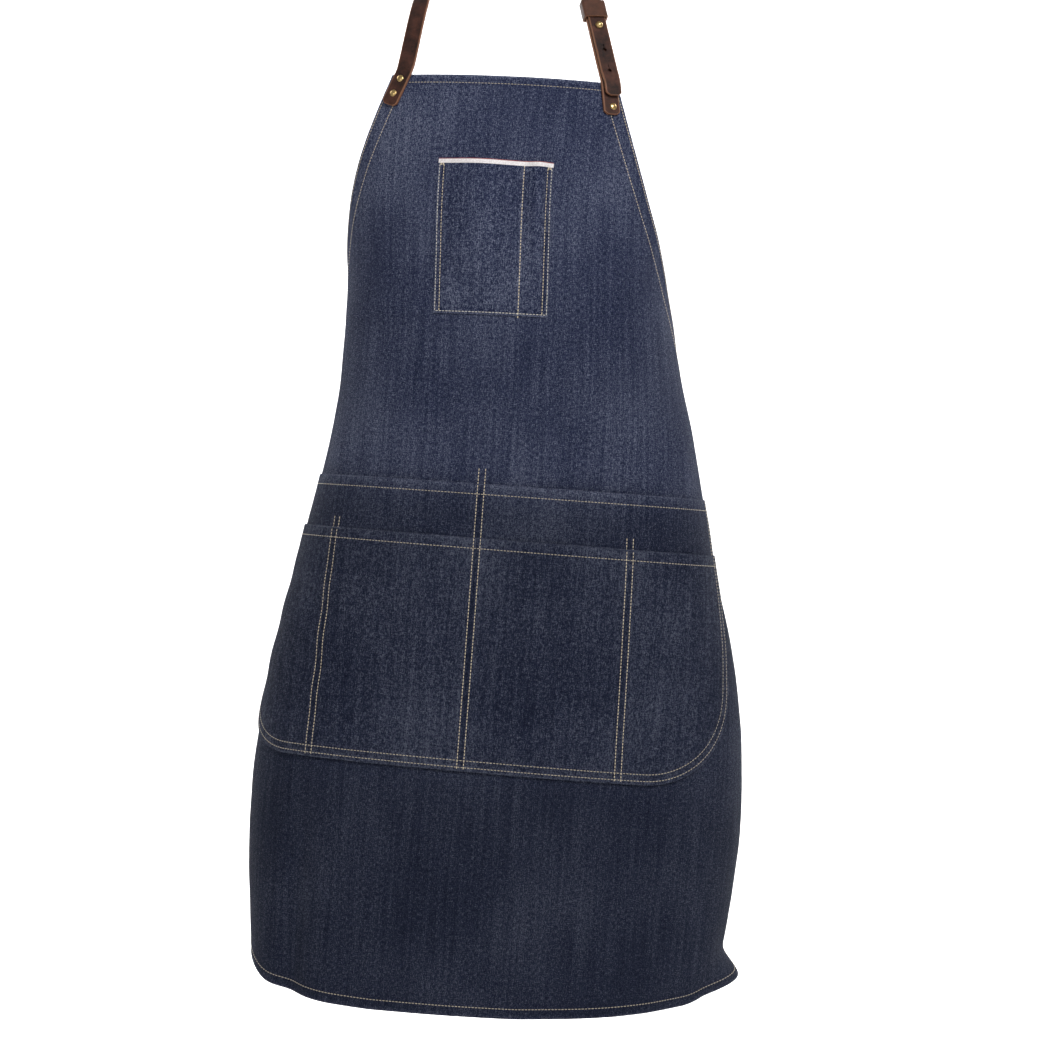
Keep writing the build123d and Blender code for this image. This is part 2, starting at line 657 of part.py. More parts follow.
def main():
    os.makedirs("parts", exist_ok=True)

    # Rivet holes through cloth and leather.
    neck_rivet_planes = LEFT_RIVET_PLANES + RIGHT_RIVET_PLANES
    neck_rivet_holes = [bore(plane, RIVET_HOLE_RADIUS) for plane in neck_rivet_planes]
    left_waist, right_waist = waist_rivet_planes(-1), waist_rivet_planes(1)
    waist_rivet_holes = [bore(plane, RIVET_HOLE_RADIUS) for plane in left_waist + right_waist]

    write("body_panel", body_panel(neck_rivet_holes + waist_rivet_holes))
    write("armhole_facing_right", armhole_facing(-1, neck_rivet_holes[:2]))
    write("armhole_facing_left", armhole_facing(1, neck_rivet_holes[2:]))
    write("chest_pocket", chest_pocket())
    write("waist_pocket_back", waist_pocket(BACK_TOP, back_inner))
    write("waist_pocket_front", waist_pocket(FRONT_TOP, front_inner, inset=0.5))

    # Riveted strap ends on the bib's corners.
    strap_end_right = strap_end(LEFT_CORNER, -STRAP_END_LENGTH, LEFT_CREASE - NECK_BEND, 0.0)
    write("neck_strap_end", strap_end_right - neck_rivet_holes[:2])
    tab_end = strap_end(RIGHT_CORNER, -STRAP_END_LENGTH, RIGHT_CREASE - NECK_BEND, 0.0)
    write("neck_tab_end", tab_end - neck_rivet_holes[2:])
    tail = strap_end(RIGHT_CORNER, -TAIL_LENGTH, RIGHT_CREASE - NECK_BEND, TAIL_LIFT)
    write("neck_strap_tail", tail)
    heads, posts = rivets(LEFT_RIVET_PLANES, NECK_RIVET_BACK)
    write("neck_strap_rivet_heads", heads)
    write("neck_strap_rivet_posts", posts)
    heads, posts = rivets(RIGHT_RIVET_PLANES, NECK_RIVET_BACK)
    write("neck_tab_rivet_heads", heads)
    write("neck_tab_rivet_posts", posts)

    # The neck loop, its stud and its keeper.
    stud_plane = at(TAB_PLANE, y=STUD_ALONG, z=LEATHER)
    hole_places = [STUD_ALONG, STUD_ALONG - HOLE_PITCH, STUD_ALONG - 1.85 * HOLE_PITCH]
    strap_holes = [bore(at(TAB_PLANE, y=y, z=STRAP_ON_TAB), STUD_HOLE_RADIUS, 5.0) for y in hole_places]
    stations = neck_path()
    write("neck_strap", neck_strap(strap_holes))
    write("neck_tab", neck_tab([bore(stud_plane, RIVET_HOLE_RADIUS, 6.0)]))
    write("neck_stud", stud(stud_plane))
    write("neck_stud_screw", stud_screw(stud_plane))
    layers = STRAP_ON_TAB + LEATHER
    write("neck_keeper", keeper(at(TAB_PLANE, y=KEEPER_ALONG), KEEPER_WIDTH, layers))

    # The leather that bends when the neck loop folds.
    write("neck_strap_bend", bend(LEFT_CORNER, LEFT_CREASE - NECK_BEND, 0.0, *stations[0]))
    tab_start = TAB_PLANE.from_local_coords(Vector(0, NECK_BEND, LEATHER / 2))
    write("neck_tab_bend", bend(RIGHT_CORNER, RIGHT_CREASE - NECK_BEND, 0.0, tab_start, TAB_SIDE, TAB_FACE))
    tail_start = stations[-1][0]
    write("neck_tail_bend", bend(RIGHT_CORNER, RIGHT_CREASE - NECK_BEND, TAIL_LIFT, tail_start, TAB_SIDE, TAB_FACE))

    # Waist straps.
    inset = HALF_WIDTH - WAIST_END_INSET
    waist_stud_plane = waist_plane(WAIST_STUD_AT, WAIST_LIFT + LEATHER)
    tab = waist_band(inset, TAB_FREE_END, tab_lift)
    write("waist_tab", tab - waist_rivet_holes[2:] - bore(waist_stud_plane, RIVET_HOLE_RADIUS, 4.0))
    tail_end = WAIST_STUD_AT - WAIST_TAIL - WAIST_GIRTH
    long_strap = waist_band(-inset, tail_end, waist_strap_lift)
    waist_holes = [
        bore(waist_plane(WAIST_STUD_AT - k * HOLE_PITCH * 0.8, WAIST_LIFT + LEATHER + LEATHER_GAP), STUD_HOLE_RADIUS, 5.0)
        for k in range(3)
    ]
    write("waist_strap", long_strap - waist_rivet_holes[:2] - waist_holes)
    waist_back = -(WAIST_LIFT + 0.5)
    heads, posts = rivets(left_waist, waist_back)
    write("waist_strap_rivet_heads", heads)
    write("waist_strap_rivet_posts", posts)
    heads, posts = rivets(right_waist, waist_back)
    write("waist_tab_rivet_heads", heads)
    write("waist_tab_rivet_posts", posts)
    write("waist_stud", stud(waist_stud_plane))
    write("waist_stud_screw", stud_screw(waist_stud_plane))
    keeper_back = waist_plane(WAIST_KEEPER_AT, WAIST_LIFT)
    write("waist_keeper", keeper(keeper_back, WAIST_KEEPER_WIDTH, LEATHER * 2 + LEATHER_GAP + 0.2))

    print("hinge", LEFT_HINGE, RIGHT_HINGE, "tab up", TAB_UP)
    print("waist slide", waist_plane(WAIST_KEEPER_AT, 0).y_dir)


main()
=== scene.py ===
"""Looks of the denim bib apron on its frame: worn cloth, hems, pockets, stitches, leather and brass."""

import math

import bpy
import numpy as np
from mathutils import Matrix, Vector


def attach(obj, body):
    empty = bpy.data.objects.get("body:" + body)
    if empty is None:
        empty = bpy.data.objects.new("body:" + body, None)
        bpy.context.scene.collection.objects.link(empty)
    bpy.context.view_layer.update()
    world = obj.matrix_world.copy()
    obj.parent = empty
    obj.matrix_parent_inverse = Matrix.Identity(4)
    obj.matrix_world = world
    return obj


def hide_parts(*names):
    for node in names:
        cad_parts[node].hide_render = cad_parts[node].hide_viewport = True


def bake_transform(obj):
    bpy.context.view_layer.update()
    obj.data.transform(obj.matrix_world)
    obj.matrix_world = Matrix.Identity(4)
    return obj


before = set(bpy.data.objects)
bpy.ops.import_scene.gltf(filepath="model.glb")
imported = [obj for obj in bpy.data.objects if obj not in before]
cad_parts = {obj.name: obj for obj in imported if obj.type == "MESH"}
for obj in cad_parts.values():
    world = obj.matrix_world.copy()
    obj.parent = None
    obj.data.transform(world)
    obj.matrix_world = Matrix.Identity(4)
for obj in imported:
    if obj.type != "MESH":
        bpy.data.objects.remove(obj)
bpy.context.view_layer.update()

MM = 0.001
CLOTH_LENGTH, HALF_WIDTH, BIB_HALF, ARMHOLE_LEVEL = 914.0, 381.0, 114.0, 345.0
HEM_CORNER_RADIUS, HEM_SAG_RADIUS = 110.0, 1700.0
DENIM, LAYER_GAP = 0.9, 0.5
POCKET_LIFT = DENIM + LAYER_GAP
CHEST_HALF, CHEST_TOP, CHEST_BOTTOM, PEN_SEAM, CHEST_OPEN = 55.5, 91.0, 241.0, 27.5, 7.5
POCKET_HALF, BACK_TOP, FRONT_TOP, POCKET_BOTTOM, POCKET_CORNER = 272.0, 403.0, 455.0, 678.0, 95.0
SEAM_TOP, SEAM_BOTTOM, BACK_OPEN, FRONT_OPEN = 146.0, 151.0, 3.6, 3.2
BIB_TOP_Z, BACK_POWER, FRONT_FLATTENS = -132.0, 2.6, (230.0, 420.0)
OUTLINE_POINTS, OUTLINE_FRONT = 721, slice(180, 541)
# The worn body's sections: level, centre line x, middle x, half width, front y, front depth, back depth
# and tilt in degrees.
SECTIONS = np.array(
    [
        (0.0, -0.5, 0.0, 168.0, -165.0, 105.0, 95.0, 2.4),
        (90.0, -8.5, 1.0, 164.0, -192.0, 112.0, 105.0, 2.8),
        (235.0, -14.4, 4.5, 162.5, -211.0, 118.0, 112.0, 2.8),
        (350.0, -19.0, 8.0, 178.0, -211.0, 117.0, 112.0, 3.4),
        (450.0, -26.0, 6.0, 199.0, -214.0, 118.0, 116.0, 4.4),
        (565.0, -34.5, 2.0, 226.0, -217.0, 120.0, 118.0, 4.8),
        (690.0, -44.0, -7.0, 242.0, -218.0, 122.0, 118.0, 4.8),
        (914.0, -60.5, -24.0, 228.0, -210.0, 118.0, 112.0, 3.4),
    ]
)


def ease(value, start, end):
    share = np.clip((np.asarray(value, float) - start) / (end - start), 0, 1)
    return share * share * (3 - 2 * share)


def bump_at(value, middle, width):
    return np.exp(-(((np.asarray(value, float) - middle) / width) ** 2))


def unit(vectors):
    vectors = np.asarray(vectors, float)
    return vectors / np.linalg.norm(vectors, axis=-1, keepdims=True)


def hermite(t, run, start, start_slope, end, end_slope):
    """A cubic from start to end over a run, with a slope at each."""
    return (
        (2 * t**3 - 3 * t**2 + 1) * start
        + (t**3 - 2 * t**2 + t) * run * start_slope
        + (-2 * t**3 + 3 * t**2) * end
        + (t**3 - t**2) * run * end_slope
    )


def travelled(points):
    """Length along a path at each of its points."""
    return np.concatenate([[0], np.cumsum(np.linalg.norm(np.diff(points, axis=0), axis=1))])


# ---- The worn surface ----

GRID = 2.0
LEVELS = np.arange(0.0, CLOTH_LENGTH + 0.1, GRID)
ACROSS = np.arange(-640.0, 640.1, GRID)


def section_columns(levels):
    knots = SECTIONS[:, 0]
    slopes = np.gradient(SECTIONS[:, 1:], knots, axis=0)
    index = np.clip(np.searchsorted(knots, levels, side="right") - 1, 0, len(knots) - 2)
    run = knots[index + 1] - knots[index]
    t = ((levels - knots[index]) / run)[:, None]
    run = run[:, None]
    return hermite(t, run, SECTIONS[index, 1:], slopes[index], SECTIONS[index + 1, 1:], slopes[index + 1])


def outline(level, column):
    """The worn body's section at a level, all the way round from the middle of the back."""
    _, middle_x, half, front_y, front_depth, back_depth, _ = column
    angles = np.linspace(-math.pi, math.pi, OUTLINE_POINTS)
    in_front = np.abs(angles) <= math.pi / 2
    front_power = 2.0 + 0.3 * ease(level, *FRONT_FLATTENS)
    power = np.where(in_front, 2 / front_power, 2 / BACK_POWER)
    x = middle_x + half * np.sign(np.sin(angles)) * np.abs(np.sin(angles)) ** power
    depth = np.where(in_front, -front_depth, back_depth)
    return x, front_y + front_depth + depth * np.abs(np.cos(angles)) ** power


def worn_grid():
    columns = section_columns(LEVELS)
    fine = section_columns(np.arange(0.0, CLOTH_LENGTH + 0.1))
    drops = np.sqrt(1 - np.diff(fine[:, 3]) ** 2)
    heights = BIB_TOP_Z - np.concatenate([[0], np.cumsum(drops)])
    table = np.zeros((len(LEVELS), len(ACROSS), 4))
    for row, (level, column) in enumerate(zip(LEVELS, columns)):
        x, y = outline(level, column)
        along = np.concatenate([[0], np.cumsum(np.hypot(np.diff(x), np.diff(y)))])
        around = along[-1]
        zero = np.interp(column[0], x[OUTLINE_FRONT], along[OUTLINE_FRONT])
        places = (ACROSS + zero) % around
        gx, gy = np.interp(places, along, x), np.interp(places, along, y)
        ahead, behind = (places + 1) % around, (places - 1) % around
        run_x = np.interp(ahead, along, x) - np.interp(behind, along, x)
        run_y = np.interp(ahead, along, y) - np.interp(behind, along, y)
        size = np.hypot(run_x, run_y)
        table[row] = np.stack([gx, gy, run_y / size, -run_x / size], axis=1)
    return table, columns, heights


WORN, COLUMNS, HEIGHTS = worn_grid()


# Flutes of the skirt: height, place across and width, in mm.
FLUTES = (
    (1.1, -124, 24), (0.9, -200, 28), (-0.7, -60, 34), (0.6, 12, 40),
    (-0.8, 96, 30), (0.7, 160, 38), (-0.9, 232, 24), (1.0, 270, 26),
)
# Soft waves of the bib: height, turn per mm across, turn per mm down, and start.
WAVES = (
    (1.0, 0.028, 0.017, 0.6), (0.8, -0.021, 0.031, 2.1), (0.7, 0.049, -0.012, 4.0), (0.5, 0.017, 0.062, 1.2),
)


def folds(u, v):
    """How far the cloth stands off its even worn shape: flutes in the skirt, soft drags in the bib."""
    flutes = -2.7 * bump_at(u, -154 - 0.03 * (v - 700), 15)
    for height, place, width in FLUTES:
        flutes = flutes + height * bump_at(u, place, width)
    skirt = 2.1 * ease(v, 655, 900) * flutes
    drags = sum(height * np.sin(across * u + down * v + start) for height, across, down, start in WAVES)
    grain = np.sin(0.11 * u + 0.043 * v) * np.sin(0.071 * v - 0.052 * u + 1.0)
    waist = 0.9 * bump_at(v, 335, 26) * (bump_at(u, -120, 46) + 0.8 * bump_at(u, 128, 46))
    rib = 2.5 * bump_at(u, -126, 44) * (bump_at(v, 233, 11) - 0.8 * bump_at(v, 256, 12))
    rib = rib + 1.2 * bump_at(u, 92, 40) * (bump_at(v, 292, 14) - 0.8 * bump_at(v, 318, 14))
    drawn = -0.8 * bump_at(v, 372, 16) * (bump_at(u, -105, 60) + bump_at(u, 110, 60))
    creases = np.sin(0.115 * (v - 0.32 * u) + 0.5)
    skirt = skirt + 0.9 * bump_at(u, -165, 90) * ease(v, 470, 530) * (1 - ease(v, 610, 670)) * creases
    near_straps = ease(v, 25, 95) * (1 - ease(np.abs(u), 285, 335) * bump_at(v, 373, 60))
    soft = 0.55 * drags * (1 - 0.5 * ease(v, 400, 520)) + 0.16 * grain
    return near_straps * (skirt + soft + waist + rib + drawn)


# The hem's corners: how far, and between which places and levels. The first of each is as in the CAD model,
# and the others bring the corners nearer to the photograph's outline. A lift starts with its side.
HEM_FLARES = ((14.0, (265, 325), (838, 885)), (11.0, (262, 312), (845, 895)))
HEM_LIFTS = (
    (-1, 9.0, (175, 235), (760, 914)), (-1, 13.0, (185, 262), (790, 905)),
    (-1, 4.0, (110, 190), (800, 914)), (1, 13.0, (240, 312), (820, 900)),
)


def even(u, v, off):
    """Worn place of flat points, in mm, with no folds."""
    u, v, off = np.broadcast_arrays(np.asarray(u, float), np.asarray(v, float), np.asarray(off, float))
    fu = np.clip((u - ACROSS[0]) / GRID, 0, len(ACROSS) - 1.001)
    fv = np.clip(v / GRID, 0, len(LEVELS) - 1.001)
    iu, iv = fu.astype(int), fv.astype(int)
    su, sv = (fu - iu)[..., None], (fv - iv)[..., None]
    near = WORN[iv, iu] * (1 - su) + WORN[iv, iu + 1] * su
    far = WORN[iv + 1, iu] * (1 - su) + WORN[iv + 1, iu + 1] * su
    x, y, nx, ny = np.moveaxis(near * (1 - sv) + far * sv, -1, 0)
    for reach, across, levels in HEM_FLARES:
        off = off + reach * ease(u, *across) * ease(v, *levels)
    x, y = x + off * nx, y + off * ny
    centre = np.interp(v, LEVELS, COLUMNS[:, 0])
    tilt = np.radians(np.interp(v, LEVELS, COLUMNS[:, 6]))
    z = np.interp(v, np.arange(len(HEIGHTS)), HEIGHTS)
    for side, rise, across, levels in HEM_LIFTS:
        z = z + rise * ease(side * u, *across) * ease(v, *levels)
    return np.stack([centre + (x - centre) * np.cos(tilt), y, z - (x - centre) * np.sin(tilt)], axis=-1)


def worn(u, v, off):
    return even(u, v, np.asarray(off) + folds(np.asarray(u, float), np.asarray(v, float)))


def cloth_axes(u, v, place=even, reach=2.0):
    """(point, across, up, outward) of the cloth's inner face at flat points."""
    v = np.asarray(v, float)
    here = place(u, v, 0.0)
    leftward = place(u + reach, v, 0.0) - place(u - reach, v, 0.0)
    upward = place(u, np.maximum(v - reach, 0.0), 0.0) - place(u, v + reach, 0.0)
    leftward, out = unit(leftward), unit(np.cross(leftward, upward))
    return here, leftward, np.cross(out, leftward), out


def armhole(share):
    share = np.asarray(share, float)[..., None]
    corners = np.array([(BIB_HALF, 0.0), (184.0, 180.0), (262.0, 318.0), (HALF_WIDTH, ARMHOLE_LEVEL)])
    weights = [(1 - share) ** 3, 3 * share * (1 - share) ** 2, 3 * share**2 * (1 - share), share**3]
    return sum(w * c for w, c in zip(weights, corners))


STRAIGHT = HALF_WIDTH - HEM_CORNER_RADIUS
CORNER_LEVEL = CLOTH_LENGTH - STRAIGHT**2 / (2 * HEM_SAG_RADIUS) - HEM_CORNER_RADIUS


def hem_level(u):
    """Level of the cloth's lower edge at a place across."""
    u = np.abs(np.asarray(u, float))
    inner = CLOTH_LENGTH - np.maximum(u, 70.0) ** 2 / (2 * HEM_SAG_RADIUS)
    turn = np.sqrt(np.maximum(HEM_CORNER_RADIUS**2 - np.maximum(u - STRAIGHT, 0) ** 2, 0))
    return np.where(u > STRAIGHT, CORNER_LEVEL + turn, inner)


ARM_TABLE = armhole(np.linspace(0, 1, 400))


def top_level(u):
    u = np.abs(np.asarray(u, float))
    return np.where(u > BIB_HALF, np.interp(u, ARM_TABLE[:, 0], ARM_TABLE[:, 1]), 0.0)


# ---- Offsets of the pocket layers ----


def opened(u):
    """How open the pockets stand: nearly shut on the wearer's right."""
    return 1 - 0.75 * ease(-np.asarray(u, float), 20, 130)


def bulge(u, seams):
    result = np.zeros(np.shape(u))
    for left, right in zip(seams, seams[1:]):
        inside = (u >= left) & (u <= right)
        result = np.where(inside, np.sin(np.pi * (u - left) / (right - left)) ** 2, result)
    return result


def mouth(v, top, bottom):
    return 1 - ease(v, top, bottom) ** 2


def inner_face(u, v):
    """The cloth's own inner face, which every offset is measured from."""
    return 0.0 * u


def chest_inner(u, v):
    stand = bulge(u, [-CHEST_HALF, PEN_SEAM, CHEST_HALF]) * mouth(v, CHEST_TOP, CHEST_BOTTOM)
    return POCKET_LIFT + CHEST_OPEN * stand


def back_inner(u, v):
    stand = bulge(u, [-POCKET_HALF, 0.0, POCKET_HALF]) * mouth(v, BACK_TOP, POCKET_BOTTOM)
    return POCKET_LIFT + BACK_OPEN * opened(u) * stand


def front_inner(u, v):
    seam = SEAM_TOP + (SEAM_BOTTOM - SEAM_TOP) * (v - FRONT_TOP) / (POCKET_BOTTOM - FRONT_TOP)
    stand = bulge(u, [-POCKET_HALF, -seam, 0.0, seam, POCKET_HALF]) * mouth(v, FRONT_TOP, POCKET_BOTTOM)
    return back_inner(u, v) + POCKET_LIFT + FRONT_OPEN * opened(u) * stand


def pocket_floor(u):
    """Level of the waist pocket's lower edge."""
    u = np.abs(np.asarray(u, float))
    reach = np.maximum(u - (POCKET_HALF - POCKET_CORNER), 0)
    return POCKET_BOTTOM - POCKET_CORNER + np.sqrt(np.maximum(POCKET_CORNER**2 - reach**2, 0))


def outermost(u, v):
    """Outer face of the topmost layer of cloth."""
    u, v = np.broadcast_arrays(np.asarray(u, float), np.asarray(v, float))
    top = np.full(u.shape, DENIM)
    chest = (np.abs(u) <= CHEST_HALF) & (v >= CHEST_TOP) & (v <= CHEST_BOTTOM)
    top = np.where(chest, chest_inner(u, v) + DENIM, top)
    under = (np.abs(u) <= POCKET_HALF) & (v <= pocket_floor(u))
    top = np.where(under & (v >= BACK_TOP), back_inner(u, v) + DENIM, top)
    return np.where(under & (v >= FRONT_TOP), front_inner(u, v) + DENIM, top)


# ---- Mesh builders ----


def new_mesh(name, points, faces, material, smooth_angle=40.0, **attributes):
    """A mesh from points in mm, with per-point attributes, shaded smooth under an angle."""
    mesh = bpy.data.meshes.new(name)
    mesh.from_pydata((np.asarray(points) * MM).tolist(), [], [list(map(int, f)) for f in faces])
    mesh.update()
    for key, values in attributes.items():
        values = np.asarray(values, np.float32)
        kind = "FLOAT" if values.ndim == 1 else "FLOAT_VECTOR"
        field = mesh.attributes.new(key, kind, "POINT")
        field.data.foreach_set("value" if values.ndim == 1 else "vector", values.ravel())
    mesh.polygons.foreach_set("use_smooth", np.ones(len(mesh.polygons), bool))
    mesh.set_sharp_from_angle(angle=math.radians(smooth_angle))
    mesh.materials.append(material)
    obj = bpy.data.objects.new(name, mesh)
    bpy.context.scene.collection.objects.link(obj)
    return obj


def flat_of(u, v, seed=0.0):
    """Flat position in metres, which the weave follows."""
    return np.stack([np.ravel(u) * MM + seed, np.ravel(v) * MM, np.full(np.size(u), seed)], axis=1)


def tone_of(u, v):
    """Darker towards the bottom: 1 on the bib, less at the waist and the skirt."""
    return np.ravel(1.0 - 0.22 * ease(v, 60, 330) - 0.37 * ease(v, 375, 440) - 0.08 * ease(v, 640, 720))


def thick_sheet(name, u, v, inner, material, wear, seed=0.0):
    """A cloth layer from arrays of flat points: inner face, outer face and edges."""
    rows, columns = u.shape
    low = inner(u, v)
    back = worn(u, v, low).reshape(-1, 3)
    front = worn(u, v, low + DENIM).reshape(-1, 3)
    index = np.arange(rows * columns).reshape(rows, columns)
    a, b, d, c = (part.ravel() for part in (index[:-1, :-1], index[:-1, 1:], index[1:, :-1], index[1:, 1:]))
    count = rows * columns
    outer = np.stack([a, d, c, b], axis=1) + count
    under = np.stack([a, b, c, d], axis=1)
    rim = np.concatenate([index[0, :], index[1:, -1], index[-1, -2::-1], index[-2:0:-1, 0]])
    after = np.roll(rim, -1)
    walls = np.stack([rim, rim + count, after + count, after], axis=1)
    faces = np.concatenate([outer, under, walls])
    flat = flat_of(u, v, seed)
    tone, edge_wear_and_shade = tone_of(u, v), np.ravel(wear(u, v))
    inside = np.concatenate([np.ones(count), np.zeros(count)])
    return new_mesh(
        name, np.concatenate([back, front]), faces, material,
        flat=np.tile(flat, (2, 1)), tone=np.tile(tone, 2), wear=np.tile(edge_wear_and_shade, 2), inside=inside,
    )


def swept(name, rings, material, closed_path=False, **attributes):
    """A tube of rings (n, m, 3), capped at its ends unless the path closes."""
    count, around = rings.shape[:2]
    index = np.arange(count * around).reshape(count, around)
    following = np.roll(index, -1, axis=0) if closed_path else index[1:]
    here = index if closed_path else index[:-1]
    a, b = here, np.roll(here, -1, axis=1)
    d, c = following, np.roll(following, -1, axis=1)
    faces = np.stack([a, b, c, d], axis=-1).reshape(-1, 4).tolist()
    if not closed_path:
        faces += [index[0, ::-1].tolist(), index[-1].tolist()]
    return new_mesh(name, rings.reshape(-1, 3), faces, material, **attributes)


def path_frames(path):
    """Inward unit directions of a flat path, to the right of its direction on the page (u right, v down)."""
    run = unit(np.gradient(path, axis=0))
    return np.stack([-run[:, 1], run[:, 0]], axis=1)


def edging(name, path, inward, profile, base, material, wear=0.5):
    """A strip along a cloth edge. profile is its closed section (in from the edge, outward)."""
    across = path[:, None, :] + inward[:, None, :] * profile[None, :, :1]
    u, v = across[..., 0], np.clip(across[..., 1], 0.0, CLOTH_LENGTH)
    rings = worn(u, v, base(u, v) + profile[None, :, 1])
    return swept(
        name, rings, material, flat=flat_of(u, v, 0.37), tone=tone_of(u, v),
        wear=np.full(u.size, wear), inside=np.zeros(u.size),
    )


BEAD_POINTS = 10


def bead(width, height, middle_in, middle_out):
    """A rounded section for a folded edge."""
    turn = np.linspace(0, 2 * np.pi, BEAD_POINTS, endpoint=False)
    return np.stack([middle_in - width * np.cos(turn), middle_out + height * np.sin(turn)], axis=1)


def slab(start, end, low, high):
    return np.array([(start, low), (start, high), (end, high), (end, low)], float)


def even_path(path, step):
    """The same flat path with points at an even distance."""
    lengths = travelled(path)
    count = max(int(round(lengths[-1] / step)), 2)
    places = np.linspace(0, lengths[-1], count + 1)
    return np.stack([np.interp(places, lengths, path[:, k]) for k in range(2)], axis=1)


STITCH_PITCH, STITCH_LENGTH, STITCH_WIDTH, STITCH_HEIGHT, STITCH_SIDES = 3.2, 2.6, 0.78, 0.46, 6
# A stitch's rings: share of its length, share of its width, and rise in mm.
STITCH_RINGS = ((0.0, 0.15, -0.16), (0.16, 0.8, 0.1), (0.5, 1.0, 0.24), (0.84, 0.8, 0.1), (1.0, 0.15, -0.16))
stitch_sets = {}


def stitch(path, group="tan", width=STITCH_WIDTH):
    """One row of thread along a flat path, each stitch a plump capsule that dips at its ends."""
    row = even_path(path, STITCH_PITCH)
    u, v = row[:, 0], row[:, 1]
    centre_u, centre_v = (u[1:] + u[:-1]) / 2, (v[1:] + v[:-1]) / 2
    out = cloth_axes(centre_u, centre_v, worn)[3]
    half = 0.5 * STITCH_LENGTH / STITCH_PITCH
    du, dv = np.diff(u) * half, np.diff(v) * half
    heads = worn(centre_u - du, centre_v - dv, outermost(centre_u - du, centre_v - dv))
    tails = worn(centre_u + du, centre_v + dv, outermost(centre_u + du, centre_v + dv))
    side = unit(np.cross(tails - heads, out))
    turn = np.linspace(0, 2 * np.pi, STITCH_SIDES, endpoint=False)
    rings = []
    for share, size, up in STITCH_RINGS:
        middle = heads + (tails - heads) * share + out * up
        ring = (
            middle[:, None, :]
            + side[:, None, :] * (np.cos(turn)[None, :, None] * width / 2 * size)
            + out[:, None, :] * (np.sin(turn)[None, :, None] * STITCH_HEIGHT / 2 * size)
        )
        rings.append(ring)
    points = np.stack(rings, axis=1)
    stitch_sets.setdefault(group, []).append(points.reshape(len(points), -1, 3))


def build_stitches(name, group, material):
    points = np.concatenate(stitch_sets[group])
    size = len(STITCH_RINGS) * STITCH_SIDES
    ring = np.arange(size).reshape(-1, STITCH_SIDES)
    low, high = ring[:-1], ring[1:]
    quads = np.stack([low, np.roll(low, -1, 1), np.roll(high, -1, 1), high], axis=-1).reshape(-1, 4)
    ends = [ring[0, ::-1].tolist(), ring[-1].tolist()]
    starts = (np.arange(len(points)) * size)[:, None, None]
    faces = (quads[None] + starts).reshape(-1, 4).tolist()
    for cap in ends:
        faces += (np.array(cap)[None] + starts[:, :, 0]).tolist()
    return new_mesh(name, points.reshape(-1, 3), faces, material, smooth_angle=75.0)


# ---- Materials ----


def node_material(name):
    material = bpy.data.materials.new(name)
    material.use_nodes = True
    tree = material.node_tree
    shader = tree.nodes["Principled BSDF"]
    return material, tree, shader


def add(tree, kind, **settings):
    node = tree.nodes.new(kind)
    for key, value in settings.items():
        setattr(node, key, value)
    return node


def set_inputs(node, **values):
    """Plain values on a node's sockets: From_Min sets the socket "From Min"."""
    for key, value in values.items():
        node.inputs[key.replace("_", " ")].default_value = value


def attribute(tree, name, output="Fac"):
    return add(tree, "ShaderNodeAttribute", attribute_name=name).outputs[output]


def math_node(tree, operation, a, b=None):
    node = add(tree, "ShaderNodeMath", operation=operation)
    for slot_index, value in enumerate((a, b)):
        if value is None:
            continue
        if isinstance(value, (int, float)):
            node.inputs[slot_index].default_value = value
        else:
            tree.links.new(value, node.inputs[slot_index])
    return node.outputs[0]


def weighted(tree, *pairs):
    """The sum of values times their weights."""
    terms = [value if weight == 1 else math_node(tree, "MULTIPLY", value, weight) for value, weight in pairs]
    result = terms[0]
    for term in terms[1:]:
        result = math_node(tree, "ADD", result, term)
    return result


def streaks(tree, position, scale, detail=3.0, rough=0.6):
    """Noise whose cells are stretched: scale is cells per metre along u, v and w."""
    mapping = add(tree, "ShaderNodeMapping", vector_type="POINT")
    mapping.inputs["Scale"].default_value = scale
    tree.links.new(position, mapping.inputs["Vector"])
    noise = add(tree, "ShaderNodeTexNoise")
    set_inputs(noise, Scale=1.0, Detail=detail, Roughness=rough)
    tree.links.new(mapping.outputs["Vector"], noise.inputs["Vector"])
    return noise.outputs["Fac"]


def remap(tree, value, low, high, to_low=0.0, to_high=1.0):
    node = add(tree, "ShaderNodeMapRange")
    set_inputs(node, From_Min=low, From_Max=high, To_Min=to_low, To_Max=to_high)
    tree.links.new(value, node.inputs["Value"])
    return node.outputs["Result"]


def mix_colour(tree, factor, a, b):
    node = add(tree, "ShaderNodeMix", data_type="RGBA")
    tree.links.new(factor, node.inputs["Factor"])
    for key, value in ((6, a), (7, b)):
        if isinstance(value, tuple):
            node.inputs[key].default_value = (*value, 1.0)
        else:
            tree.links.new(value, node.inputs[key])
    return node.outputs[2]


def bumped(tree, shader, height, strength, distance):
    relief = add(tree, "ShaderNodeBump")
    set_inputs(relief, Strength=strength, Distance=distance)
    tree.links.new(height, relief.inputs["Height"])
    tree.links.new(relief.outputs["Normal"], shader.inputs["Normal"])


TWILL_STEP = 0.00085


